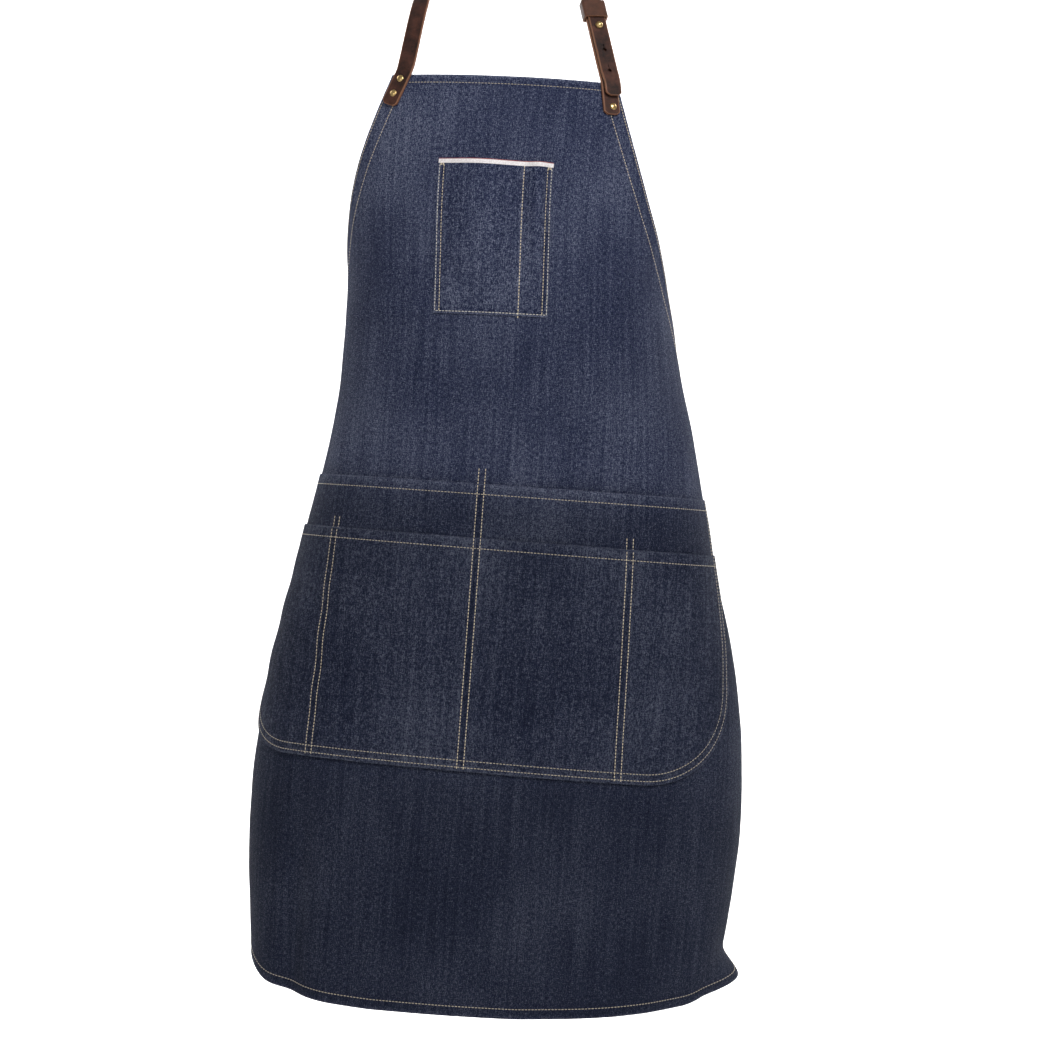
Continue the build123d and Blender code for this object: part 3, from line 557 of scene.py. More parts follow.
def denim_material(name, deep, middle, pale):
    """Woven denim along the flat cloth: tone makes it darker towards the bottom, the per-point edge value
    pales worn edges and paints shade beside hems and seams, inside shows the paler back.
    """
    material, tree, shader = node_material(name)
    flat = attribute(tree, "flat", "Vector")
    tone, wear, inside = (attribute(tree, key) for key in ("tone", "wear", "inside"))
    warp = streaks(tree, flat, (1050.0, 260.0, 1.0), 3.0, 0.7)
    long_warp = streaks(tree, flat, (300.0, 9.0, 1.0), 2.0, 0.5)
    weft = streaks(tree, flat, (230.0, 1000.0, 1.0), 3.0, 0.65)
    speckle = streaks(tree, flat, (1150.0, 1000.0, 1.0), 3.0, 0.8)
    cloud = streaks(tree, flat, (9.0, 7.0, 1.0), 3.0, 0.5)
    value = weighted(tree, (warp, 0.44), (weft, 0.24), (speckle, 0.52), (long_warp, 0.12), (cloud, 0.16))
    dots = remap(tree, streaks(tree, flat, (1500.0, 900.0, 1.0), 2.0, 0.6), 0.56, 0.74)
    value = weighted(tree, (remap(tree, value, 0.62, 0.88), 1), (dots, 0.45))
    split = add(tree, "ShaderNodeSeparateXYZ")
    tree.links.new(flat, split.inputs[0])
    diagonal = weighted(tree, (split.outputs[0], 1), (split.outputs[1], 0.8))
    twill = math_node(tree, "SINE", math_node(tree, "MULTIPLY", diagonal, 2 * math.pi / TWILL_STEP))
    ramp = add(tree, "ShaderNodeValToRGB")
    stops = ramp.color_ramp.elements
    stops[0].position, stops[0].color = 0.0, (*deep, 1.0)
    stops[1].position, stops[1].color = 1.0, (*pale, 1.0)
    stops.new(0.5).color = (*middle, 1.0)
    # Above zero the per-point edge value pales worn edges; below zero it is painted shade.
    tree.links.new(weighted(tree, (value, 1), (twill, 0.05), (wear, 0.22)), ramp.inputs["Fac"])
    # tone makes the cloth darker towards the bottom.
    darkness = math_node(tree, "SUBTRACT", 1.0, tone)
    colour = mix_colour(tree, darkness, ramp.outputs["Color"], (0.003, 0.0045, 0.008))
    reverse = mix_colour(tree, value, (0.085, 0.095, 0.125), (0.33, 0.34, 0.36))
    colour = mix_colour(tree, math_node(tree, "MULTIPLY", inside, 0.75), colour, reverse)
    tree.links.new(colour, shader.inputs["Base Color"])
    set_inputs(shader, Roughness=0.88, Specular_IOR_Level=0.05, Sheen_Weight=0.015, Sheen_Roughness=0.5)
    bumped(tree, shader, weighted(tree, (twill, 0.35), (value, 1.1)), 0.55, 0.0003)
    return material


def leather_material(name, dark, light, edge):
    material, tree, shader = node_material(name)
    place = add(tree, "ShaderNodeTexCoord").outputs["Object"]
    border = attribute(tree, "edge")
    blotch = streaks(tree, place, (70.0, 70.0, 70.0), 5.0, 0.65)
    pores = streaks(tree, place, (1500.0, 1500.0, 1500.0), 3.0, 0.6)
    cracks = streaks(tree, place, (420.0, 420.0, 420.0), 4.0, 0.7)
    value = weighted(tree, (blotch, 0.8), (cracks, 0.4))
    colour = mix_colour(tree, remap(tree, value, 0.44, 0.76), dark, light)
    colour = mix_colour(tree, math_node(tree, "MULTIPLY", border, 0.6), colour, edge)
    tree.links.new(colour, shader.inputs["Base Color"])
    tree.links.new(remap(tree, cracks, 0.3, 0.7, 0.38, 0.62), shader.inputs["Roughness"])
    set_inputs(shader, Specular_IOR_Level=0.3)
    bumped(tree, shader, math_node(tree, "ADD", pores, cracks), 0.5, 0.0003)
    return material


def brass_material(name):
    material, tree, shader = node_material(name)
    place = add(tree, "ShaderNodeTexCoord").outputs["Object"]
    tarnish = streaks(tree, place, (260.0, 260.0, 260.0), 4.0, 0.6)
    colour = mix_colour(tree, remap(tree, tarnish, 0.35, 0.7), (0.78, 0.56, 0.24), (0.46, 0.31, 0.13))
    tree.links.new(colour, shader.inputs["Base Color"])
    set_inputs(shader, Metallic=1.0)
    tree.links.new(remap(tree, tarnish, 0.3, 0.7, 0.2, 0.42), shader.inputs["Roughness"])
    return material


def thread_material(name, light, dark):
    material, tree, shader = node_material(name)
    place = add(tree, "ShaderNodeTexCoord").outputs["Object"]
    twist = streaks(tree, place, (900.0, 900.0, 900.0), 2.0, 0.6)
    colour = mix_colour(tree, remap(tree, twist, 0.35, 0.68), light, dark)
    tree.links.new(colour, shader.inputs["Base Color"])
    set_inputs(shader, Roughness=0.7, Sheen_Weight=0.2)
    bumped(tree, shader, twist, 0.5, 0.0002)
    return material


DENIM_LOOK = denim_material("indigo_denim", (0.004, 0.007, 0.023), (0.027, 0.034, 0.074), (0.20, 0.22, 0.30))
BAND_LOOK = thread_material("selvedge_cotton", (0.86, 0.82, 0.82), (0.62, 0.57, 0.57))
RED_LOOK = thread_material("selvedge_red", (0.30, 0.05, 0.05), (0.20, 0.04, 0.045))
TAN_THREAD = thread_material("tan_thread", (0.72, 0.62, 0.44), (0.47, 0.39, 0.27))
PALE_THREAD = thread_material("pale_thread", (0.66, 0.63, 0.56), (0.44, 0.41, 0.36))
DULL_THREAD = thread_material("dull_thread", (0.46, 0.40, 0.30), (0.30, 0.26, 0.20))
LEATHER_LOOK = leather_material(
    "brown_leather", (0.011, 0.0045, 0.0034), (0.078, 0.028, 0.018), (0.30, 0.135, 0.072)
)
BRASS_LOOK = brass_material("old_brass")


# ---- Cloth ----

CLOTH_ROWS, POCKET_ROWS = 170, 64
half_columns = np.concatenate(
    [np.linspace(0, 108, 22), np.linspace(BIB_HALF, 200, 26), np.linspace(206, HALF_WIDTH, 34)]
)
columns_u = np.concatenate([-half_columns[::-1], half_columns[1:]])


def even_rows(tops, bottoms, rows):
    return tops[None, :] + (bottoms - tops)[None, :] * np.linspace(0, 1, rows)[:, None]


cloth_u = np.tile(columns_u, (CLOTH_ROWS, 1))
cloth_v = even_rows(top_level(columns_u), hem_level(columns_u), CLOTH_ROWS)


def cloth_wear(u, v):
    border = np.minimum(np.abs(v - hem_level(u)), np.abs(v - top_level(u)))
    # Paler worn edge at the border; the darker bands 6.5 mm and 12 mm in, either side of the stitch line, are
    # painted shade of the folded hem.
    return 0.7 * bump_at(border, 0.0, 3.0) - 0.35 * bump_at(border, 6.5, 2.5) - 0.2 * bump_at(border, 12, 2.5)


def denim_strip(name, path, inward, profile, wear, base=inner_face):
    return edging(name, path, inward, profile, base, DENIM_LOOK, wear)


def corner_arc(centre, radius, turns):
    return np.asarray(centre) + radius * np.stack([np.cos(turns), np.sin(turns)], axis=1)


cloth = thick_sheet("apron_cloth", cloth_u, cloth_v, inner_face, DENIM_LOOK, cloth_wear)

side_points = np.linspace(ARMHOLE_LEVEL, CORNER_LEVEL, 70)
turns = np.linspace(0, math.pi / 2 - STRAIGHT / HEM_SAG_RADIUS, 40)
bottom_half = np.linspace(STRAIGHT, 70, 36)
lower_edge = np.concatenate(
    [
        np.stack([np.full(side_points.shape, HALF_WIDTH), side_points], axis=1),
        corner_arc((STRAIGHT, CORNER_LEVEL), HEM_CORNER_RADIUS, turns)[1:],
        np.stack([bottom_half, hem_level(bottom_half)], axis=1)[1:],
    ]
)
whole_lower = even_path(np.concatenate([lower_edge, (lower_edge * [-1, 1])[::-1]]), 5.0)
lower_inward = path_frames(whole_lower)
arm_path = {side: even_path(armhole(np.linspace(0, 1, 300)) * [side, 1], 4.0) for side in (-1, 1)}
arm_inward = {side: path_frames(arm_path[side]) * side for side in (-1, 1)}
top_path = np.stack([np.linspace(-BIB_HALF, BIB_HALF, 60), np.zeros(60)], axis=1)
top_inward = np.tile([0.0, 1.0], (60, 1))

edge_bead = bead(1.0, 1.12, 0.75, 0.05)
cloth_parts = [
    denim_strip("hem_edge", whole_lower, lower_inward, edge_bead, 0.9),
    denim_strip("hem_fold", whole_lower, lower_inward, slab(0.8, 12.0, -0.95, -0.08), 0.3),
]
for side, word in ((-1, "right"), (1, "left")):
    path, inward = arm_path[side], arm_inward[side]
    cloth_parts.append(denim_strip(f"armhole_edge_{word}", path, inward, edge_bead, 0.9))
    facing = denim_strip(f"facing_{word}", path, inward, slab(1.0, 17.0, -1.4, -0.5), 0.2)
    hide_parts(f"armhole_facing_{word}")
    cloth_parts.append(facing)
cloth_parts.append(denim_strip("bib_top_edge", top_path, top_inward, edge_bead, 0.9))
cloth_parts.append(denim_strip("bib_top_fold", top_path, top_inward, slab(0.8, 11.0, -0.95, -0.08), 0.3))
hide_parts("body_panel")


def pocket_wear(top):
    def wear(u, v):
        seam = SEAM_TOP + 4 * ease(v, FRONT_TOP, POCKET_BOTTOM)
        lines = bump_at(np.abs(u), seam, 6) + bump_at(u, 0, 6)
        border = np.minimum(pocket_floor(u) - v, POCKET_HALF - np.abs(u))
        # Painted shadow in the groove between the two rows of each double seam; the wider paler bands along
        # the seams and at the pocket's edges and mouth are wear.
        painted_seam_shadow = bump_at(np.abs(u), seam, 2.2) + bump_at(u, 0, 2.2)
        return 0.4 * lines - 1.2 * painted_seam_shadow + 0.6 * bump_at(border, 0.0, 9.0) + 0.6 * bump_at(v, top, 6.0)

    return wear


pocket_half_columns = np.concatenate([np.linspace(0, 177, 44), np.linspace(181, POCKET_HALF, 30)])
pocket_u = np.concatenate([-pocket_half_columns[::-1], pocket_half_columns[1:]])
waist_layers = []
for name, top, inner, node, inset in (
    ("waist_pocket_lower_layer", BACK_TOP, back_inner, "waist_pocket_back", 0.0),
    ("waist_pocket_upper_layer", FRONT_TOP, front_inner, "waist_pocket_front", 0.6),
):
    squeeze = (POCKET_HALF - inset) / POCKET_HALF
    u = np.tile(pocket_u * squeeze, (POCKET_ROWS, 1))
    v = even_rows(np.full(pocket_u.shape, top), pocket_floor(pocket_u) - inset, POCKET_ROWS)
    layer = thick_sheet(name, u, v, inner, DENIM_LOOK, pocket_wear(top), seed=0.11 + inset)
    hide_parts(node)
    lip = even_path(np.stack([pocket_u * squeeze, np.full(pocket_u.shape, top)], axis=1), 5.0)
    down = np.tile([0.0, 1.0], (len(lip), 1))
    parts = [
        denim_strip(f"{name}_lip", lip, down, bead(1.0, 1.0, 0.7, 0.0), 0.9, inner),
        denim_strip(f"{name}_turning", lip, down, slab(0.8, 11.5, -0.62, -0.06), 0.3, inner),
    ]
    waist_layers.append((layer, parts, top))

side_level = POCKET_BOTTOM - POCKET_CORNER
quarter = np.linspace(0, math.pi / 2, 40)
straight_half = POCKET_HALF - POCKET_CORNER


def pocket_border(top, inset=0.0):
    """The waist pocket's sides and bottom, from one mouth corner to the other."""
    half = np.concatenate(
        [
            np.stack([np.full(30, POCKET_HALF - inset), np.linspace(top, side_level, 30)], axis=1),
            corner_arc((straight_half, side_level), POCKET_CORNER - inset, quarter)[1:],
            np.stack([np.linspace(straight_half, 0, 40), np.full(40, POCKET_BOTTOM - inset)], axis=1)[1:],
        ]
    )
    return np.concatenate([half, (half * [-1, 1])[::-1][1:]])


border = even_path(pocket_border(FRONT_TOP), 4.0)
waist_layers[1][1].append(
    denim_strip("waist_pocket_border", border, path_frames(border), bead(1.1, 1.9, 0.9, 2.1), 0.9)
)
for side, word in ((-1, "right"), (1, "left")):
    path = even_path(np.array([(side * POCKET_HALF, BACK_TOP), (side * POCKET_HALF, FRONT_TOP + 2)]), 4.0)
    inward = np.tile([-float(side), 0.0], (len(path), 1))
    side_bead = bead(1.0, 1.0, 0.8, 1.5)
    waist_layers[0][1].append(denim_strip(f"waist_pocket_side_{word}", path, inward, side_bead, 0.8))

# ---- Chest pocket ----

CHEST_COLUMNS, CHEST_ROWS = 46, 40
chest_u = np.tile(np.linspace(-CHEST_HALF, CHEST_HALF, CHEST_COLUMNS), (CHEST_ROWS, 1))
chest_v = np.tile(np.linspace(CHEST_TOP, CHEST_BOTTOM, CHEST_ROWS)[:, None], (1, CHEST_COLUMNS))


def chest_wear(u, v):
    border = np.minimum(CHEST_HALF - np.abs(u), CHEST_BOTTOM - v)
    # Pale worn edge, then a painted shade band 4.4 mm in from the side and bottom edges, between the stitch
    # rows; a paler line of wear along the pen seam.
    return 0.5 * bump_at(border, 0.0, 5.0) - 0.9 * bump_at(border, 4.4, 1.6) + 0.2 * bump_at(u, PEN_SEAM, 4)


chest = thick_sheet("chest_pocket_cloth", chest_u, chest_v, chest_inner, DENIM_LOOK, chest_wear, seed=0.23)
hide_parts("chest_pocket")
chest_corners = np.array([(1, CHEST_TOP), (1, CHEST_BOTTOM), (-1, CHEST_BOTTOM), (-1, CHEST_TOP)])
chest_border = even_path(chest_corners * [CHEST_HALF, 1], 3.0)
chest_bead = bead(0.9, 0.95, 0.7, 1.55)
chest_parts = [denim_strip("chest_pocket_border", chest_border, path_frames(chest_border), chest_bead, 0.8)]
chest_lip = even_path(np.array([(-CHEST_HALF, CHEST_TOP), (CHEST_HALF, CHEST_TOP)]), 3.0)
chest_down = np.tile([0.0, 1.0], (len(chest_lip), 1))
for name, section, look in (
    ("chest_selvedge", slab(-1.3, 2.9, 0.05, 1.35), BAND_LOOK),
    ("chest_selvedge_line", slab(-2.1, -1.1, 0.1, 1.3), RED_LOOK),
):
    chest_parts.append(edging(name, chest_lip, chest_down, section, chest_inner, look, 0.0))

# ---- Stitches ----


def line(u0, v0, u1, v1):
    return np.array([(u0, v0), (u1, v1)], float)


def inset_path(path, inward, distance):
    return (path + inward * distance)[1:-1]


GAUGE = 3.2     # half the distance between the two rows of a double-needle seam
stitch(inset_path(whole_lower, lower_inward, 9.5), "dull")
stitch(line(-BIB_HALF + 12, 8.5, BIB_HALF - 12, 8.5), "dull")
for side in (-1, 1):
    stitch(inset_path(arm_path[side], arm_inward[side], 2.6))
    inner_row = inset_path(arm_path[side], arm_inward[side], 16.0)
    stitch(inner_row[inner_row[:, 1] > 1.0])
for seam_u in (-GAUGE, GAUGE):
    stitch(line(seam_u, BACK_TOP - 15, seam_u, POCKET_BOTTOM - 2))
for side in (-1, 1):
    for gauge in (-GAUGE, GAUGE):
        stitch(line(side * SEAM_TOP + gauge, FRONT_TOP - 11, side * SEAM_BOTTOM + gauge, POCKET_BOTTOM - 2))
for inset in (4.0, 10.5):
    stitch(pocket_border(BACK_TOP + 1, inset), "dull")
for top in (BACK_TOP, FRONT_TOP):
    stitch(line(-POCKET_HALF + 4, top + 10, POCKET_HALF - 4, top + 10), "dull")
for inset, group in ((1.5, "pale"), (5.8, "tan")):
    for side in (-1, 1):
        row_u = side * (CHEST_HALF - inset)
        stitch(line(row_u, CHEST_TOP + 4, row_u, CHEST_BOTTOM - 2), group)
stitch(line(-CHEST_HALF + 2, CHEST_BOTTOM - 2.2, CHEST_HALF - 2, CHEST_BOTTOM - 2.2), "pale")
stitch(line(PEN_SEAM, CHEST_TOP - 1.2, PEN_SEAM - 0.6, CHEST_BOTTOM + 2.5), "tan", width=0.95)
for side in (-1, 1):
    for k in range(4):
        tack_u, tack_v = side * (CHEST_HALF - 1.5), CHEST_TOP + 3 + k * 0.55
        stitch(line(tack_u - side * 4.5, tack_v, tack_u, tack_v))

tan_stitches = build_stitches("tan_stitching", "tan", TAN_THREAD)
pale_stitches = build_stitches("pale_stitching", "pale", PALE_THREAD)
dull_stitches = build_stitches("dull_stitching", "dull", DULL_THREAD)

# ---- Leather ----

LEATHER, LEATHER_GAP, STRAP_HALF, NECK_BEND = 2.6, 0.4, 8.8, 7.0
STRAP_LIFT, TAIL_LIFT, STRAP_ON_TAB = DENIM + 0.9, LEATHER + 1.5 + 0.3, LEATHER + 0.4
STRAP_END_LENGTH, TAIL_LENGTH, CLIP, TAB_ASIDE = 34.0, 15.5, 3.6, -1.6
TAB_LENGTH, STUD_ALONG, KEEPER_ALONG, LOOP_POINTS = 108.0, 63.0, 83.0, 110


class Place:
    """An origin with x, y and z directions."""

    def __init__(self, origin, y, z):
        self.z = unit(z)
        self.y = unit(y - self.z * np.dot(y, self.z))
        self.x = np.cross(self.y, self.z)
        self.origin = np.asarray(origin, float)

    def at(self, x=0.0, y=0.0, z=0.0):
        return self.origin + self.x * x + self.y * y + self.z * z


def corner_place(u, away_u, away_v):
    middle, _, _, out = cloth_axes((u + away_u) / 2, away_v / 2)
    start, end = even(u, 0.0, 0.0), even(away_u, away_v, 0.0)
    up = start - end
    up = unit(up - out * np.dot(up, out))
    return Place(middle + up * np.dot(start - middle, up) + out * STRAP_LIFT, up, out)


LEFT = corner_place(-100.5, -113.5, 32.0)
RIGHT = corner_place(105.0, 111.6, 33.4)
LEFT_CREASE, RIGHT_CREASE = 4.6, 3.0
left_hinge, right_hinge = LEFT.at(0, LEFT_CREASE, LEATHER / 2), RIGHT.at(0, RIGHT_CREASE, LEATHER / 2)
left_shoulder, right_shoulder = np.array((-83.0, -105.0, -48.0)), np.array((85.0, -100.0, -47.0))
tab_up = unit(right_shoulder - right_hinge)
tab_face = np.array((0.22, -0.78, 0.6))
tab_face = unit(tab_face - tab_up * np.dot(tab_face, tab_up))
TAB = Place(right_hinge - tab_face * LEATHER / 2, tab_up, tab_face)


def clamped_spline(points, start, end, samples):
    """A smooth curve through points with unit end directions, sampled evenly along its length."""
    points = np.asarray(points, float)
    knots = travelled(points)
    count = len(points)
    matrix, right = np.zeros((count, count)), np.zeros((count, 3))
    matrix[0, 0] = matrix[-1, -1] = 1.0
    right[0], right[-1] = start, end
    for k in range(1, count - 1):
        low, high = knots[k] - knots[k - 1], knots[k + 1] - knots[k]
        matrix[k, k - 1 : k + 2] = [high, 2 * (low + high), low]
        right[k] = 3 * (high / low * (points[k] - points[k - 1]) + low / high * (points[k + 1] - points[k]))
    slopes = np.linalg.solve(matrix, right)
    fine = []
    for k in range(count - 1):
        run = knots[k + 1] - knots[k]
        t = np.linspace(0, 1, 60, endpoint=k == count - 2)[:, None]
        fine.append(hermite(t, run, points[k], slopes[k], points[k + 1], slopes[k + 1]))
    fine = np.concatenate(fine)
    lengths = travelled(fine)
    places = np.linspace(0, lengths[-1], samples)
    return np.stack([np.interp(places, lengths, fine[:, k]) for k in range(3)], axis=1)


BEND_SHARES = np.linspace(0, 1, 7)[1:-1]


def bend_points(start, control, end):
    t = BEND_SHARES[:, None]
    return (1 - t) ** 2 * start + 2 * t * (1 - t) * control + t**2 * end


def turned(start, end):
    """Faces of a bend's points, from one direction to the other."""
    return [start * (1 - t) + end * t for t in BEND_SHARES]


def strap_mesh(name, centres, faces, widths):
    """A leather strap along centre points, with rounded edges and paler cut sides."""
    centres, faces, widths = np.asarray(centres), np.asarray(faces), np.asarray(widths)
    along = unit(np.gradient(centres, axis=0))
    faces = unit(faces - along * np.sum(faces * along, axis=1, keepdims=True))
    side = np.cross(along, faces)
    radius, half = 0.75, LEATHER / 2
    corner = np.linspace(0, math.pi / 2, 4)
    section, border = [], []
    for sign_x, sign_z, order in ((1, 1, 1), (1, -1, -1), (-1, -1, 1), (-1, 1, -1)):
        arc = [(radius * math.cos(a), radius * math.sin(a), 1.0) for a in corner]
        arc.append((-0.9, radius, 0.0))
        for x, z, cut in arc[::-order]:
            section.append((sign_x, sign_z, x, z))
            border.append(cut)
    section = np.array(section)
    x = section[None, :, 0] * (widths[:, None] - radius + section[None, :, 2])
    z = section[None, :, 1] * (half - radius + section[None, :, 3])
    z = np.broadcast_to(z, x.shape)
    rings = centres[:, None] + side[:, None] * x[..., None] + faces[:, None] * z[..., None]
    ends = np.zeros(len(centres))
    ends[[0, 1, -2, -1]] = 0.7
    edge = np.maximum(np.tile(border, len(centres)), np.repeat(ends, len(border)))
    return swept(name, rings, LEATHER_LOOK, edge=edge)


CLIP_YS = (0.0, 0.15, 0.8, 1.8, 2.8, CLIP)
CLIP_CUTS = (CLIP + 0.2, CLIP, 2.6, 1.1, 0.3, 0.0)


def end_run(place, bottom, top, lift, steps, aside=0.0):
    """Centres, faces and half widths of a strap end with rounded corners, from its tip upward."""
    tip = bottom + np.array(CLIP_YS)
    ys = np.concatenate([tip, np.linspace(bottom + CLIP, top, steps)[1:]])
    widths = STRAP_HALF - np.interp(ys, tip, CLIP_CUTS)
    centres = [place.at(aside, y, lift + LEATHER / 2) for y in ys]
    return centres, [place.z] * len(ys), list(widths)


def neck_strap_mesh():
    up_left = unit(left_shoulder - left_hinge)
    on_tab = [TAB.at(0, y, STRAP_ON_TAB + LEATHER / 2) for y in (TAB_LENGTH + 12, NECK_BEND)]
    points = [
        left_hinge + up_left * NECK_BEND, left_shoulder, (-72.0, -66.0, -20.0), (-42.0, -17.0, -3.0),
        (0.0, LEATHER / 2, 0.0), (42.0, -16.0, -3.0), (73.0, -63.0, -20.0), on_tab[0],
    ]
    down = unit(on_tab[1] - on_tab[0])
    curve = clamped_spline(points, up_left, down, LOOP_POINTS)
    left_face = LEFT.z * 0.4 + np.array((-0.1, -0.78, 0.6)) * 0.6
    shares = [0.0, 0.20, 0.33, 0.42, 0.50, 0.60, 0.72, 0.86, 1.0]
    table = np.array(
        [
            left_face, (-0.25, -0.70, 0.65), (-0.62, -0.25, 0.75), (-0.66, 0.55, 0.50), (0.0, 0.92, 0.38),
            (0.66, 0.55, 0.50), (0.62, -0.25, 0.75), (0.30, -0.74, 0.62), TAB.z,
        ]
    )
    share = np.linspace(0, 1, LOOP_POINTS)
    curve_faces = np.stack([np.interp(share, shares, table[:, k]) for k in range(3)], axis=1)
    kernel = np.array([1, 2, 3, 2, 1]) / 9.0
    padded_faces = np.pad(curve_faces, ((2, 2), (0, 0)), mode="edge")
    curve_faces = np.stack([np.convolve(padded_faces[:, k], kernel, mode="valid") for k in range(3)], axis=1)
    centres, faces, widths = end_run(LEFT, -STRAP_END_LENGTH, LEFT_CREASE - NECK_BEND, 0.0, 8)
    bend = bend_points(centres[-1], left_hinge, curve[0])
    faces += turned(LEFT.z, curve_faces[0])
    centres += list(bend) + list(curve)
    faces += list(curve_faces)
    straight = np.linspace(on_tab[0], on_tab[1], 34)[1:]
    centres += list(straight)
    faces += [TAB.z] * len(straight)
    tail, tail_faces, tail_widths = end_run(RIGHT, -TAIL_LENGTH, RIGHT_CREASE - NECK_BEND, TAIL_LIFT, 5)
    control = (right_hinge + RIGHT.z * TAIL_LIFT + right_hinge + TAB.z * STRAP_ON_TAB) / 2
    bend = bend_points(straight[-1], control, tail[-1])
    faces += turned(TAB.z, RIGHT.z)
    centres += list(bend) + tail[::-1]
    faces += tail_faces[::-1]
    widths += [STRAP_HALF] * (len(centres) - len(widths) - len(tail_widths))
    return strap_mesh("neck_strap_leather", centres, faces, widths + tail_widths[::-1])


def neck_tab_mesh():
    centres, faces, widths = end_run(RIGHT, -STRAP_END_LENGTH, RIGHT_CREASE - NECK_BEND, 0.0, 8, TAB_ASIDE)
    start = TAB.at(TAB_ASIDE, NECK_BEND, LEATHER / 2)
    bend = bend_points(centres[-1], right_hinge + RIGHT.x * TAB_ASIDE, start)
    faces += turned(RIGHT.z, TAB.z)
    ys = np.concatenate([np.linspace(NECK_BEND, TAB_LENGTH - 4, 28), [TAB_LENGTH - 0.15, TAB_LENGTH]])
    centres += list(bend) + [TAB.at(TAB_ASIDE, y, LEATHER / 2) for y in ys]
    faces += [TAB.z] * len(ys)
    widths += [STRAP_HALF] * (len(bend) + len(ys) - 2) + [STRAP_HALF - 4, STRAP_HALF - 4.3]
    return strap_mesh("neck_tab_leather", centres, faces, widths)


HOLE_RADIUS, HOLE_SIDES, HOLE_DEPTH, SLIT_HALF = 2.1, 20, 3.2, 0.35


def cut_holes(obj, holes, slit=0.0):
    """Round holes, with a short slit if it has a length, at places whose z is out of the leather."""
    for index, hole in enumerate(holes):
        turn = np.linspace(0, 2 * math.pi, HOLE_SIDES, endpoint=False) + math.pi / HOLE_SIDES
        cut_line = [(HOLE_RADIUS * math.cos(a), HOLE_RADIUS * math.sin(a)) for a in turn]
        if slit:
            reach = math.sqrt(HOLE_RADIUS**2 - SLIT_HALF**2)
            tip = reach + slit
            cut_line = [p for p in cut_line if not (p[1] > 0 and abs(p[0]) < SLIT_HALF + 0.35)]
            at = next(k for k, p in enumerate(cut_line) if p[0] < 0 and p[1] > 0)
            cut_line[at:at] = [(SLIT_HALF, reach), (SLIT_HALF, tip), (-SLIT_HALF, tip), (-SLIT_HALF, reach)]
        rings = np.array([[hole.at(x, y, z) for x, y in cut_line] for z in (-HOLE_DEPTH, HOLE_DEPTH)])
        cutter = swept(f"{obj.name}_cutter_{index}", rings, LEATHER_LOOK)
        modifier = obj.modifiers.new("hole", "BOOLEAN")
        modifier.operation, modifier.solver, modifier.object = "DIFFERENCE", "EXACT", cutter
        depsgraph = bpy.context.evaluated_depsgraph_get()
        cut = bpy.data.meshes.new_from_object(obj.evaluated_get(depsgraph), depsgraph=depsgraph)
        obj.modifiers.clear()
        if len(cut.vertices) > 100:     # the strap stays whole if the cut comes out all but empty
            obj.data = cut
        bpy.data.objects.remove(cutter)
    obj.data.set_sharp_from_angle(angle=math.radians(50))


def hole_on_tab(y):
    return Place(TAB.at(0, y, STRAP_ON_TAB + LEATHER / 2), TAB.y, TAB.z)


neck_strap = neck_strap_mesh()
neck_tab = neck_tab_mesh()
cut_holes(neck_strap, [hole_on_tab(STUD_ALONG - 30), hole_on_tab(STUD_ALONG - 55.5)], slit=5.0)
cut_holes(neck_strap, [hole_on_tab(STUD_ALONG)])

fold_axis = unit(right_hinge - left_hinge)
fold_up = (unit(LEFT.y + RIGHT.y) + tab_up) / 2
fold_up = unit(fold_up - fold_axis * np.dot(fold_up, fold_axis))
for leather in (neck_strap, neck_tab):
    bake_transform(leather)
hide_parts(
    "neck_strap_end", "neck_strap_bend", "neck_strap", "neck_tail_bend", "neck_strap_tail"
)
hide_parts("neck_tab_end", "neck_tab_bend", "neck_tab")


def keeper_mesh(name, place, width, layers, room=0.5):
    """A leather loop round a strap: place is on the tab's back face, y along the strap."""
    clearance, leather, radius, rounding = 0.9, 2.0, 1.9, 0.6
    half_x = STRAP_HALF + room + leather / 2
    low, high = -clearance - leather / 2, layers + clearance + leather / 2
    middle_z, half_z = (low + high) / 2, (high - low) / 2
    centres, outs = [], []
    for sign_x, sign_z, start in ((1, 1, 0), (-1, 1, 90), (-1, -1, 180), (1, -1, 270)):
        for angle in np.radians(start + np.linspace(0, 90, 6)):
            cx, cz = sign_x * (half_x - radius), middle_z + sign_z * (half_z - radius)
            direction = place.x * math.cos(angle) + place.z * math.sin(angle)
            centres.append(place.at(cx, 0, cz) + direction * radius)
            outs.append(direction)
    section = []
    for sign_y, sign_o in ((1, 1), (-1, 1), (-1, -1), (1, -1)):
        for angle in ((15, 75) if sign_y * sign_o > 0 else (75, 15)):
            a = math.radians(angle)
            along_y = sign_y * (width / 2 - rounding + rounding * math.cos(a))
            outward = sign_o * (leather / 2 - rounding + rounding * math.sin(a))
            section.append((along_y, outward, 1.0 if math.cos(a) > 0.6 else 0.2))
    section = np.array(section)
    rings = (
        np.array(centres)[:, None]
        + place.y[None, None] * section[None, :, 0, None]
        + np.array(outs)[:, None] * section[None, :, 1, None]
    )
    return swept(name, rings, LEATHER_LOOK, closed_path=True, edge=np.tile(section[:, 2], len(centres)))


keeper_place = Place(TAB.at(TAB_ASIDE / 2, KEEPER_ALONG), TAB.y, TAB.z)
neck_keeper = keeper_mesh("neck_keeper_leather", keeper_place, 20.0, STRAP_ON_TAB + LEATHER, 1.7)
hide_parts("neck_keeper")

# ---- Waist straps ----

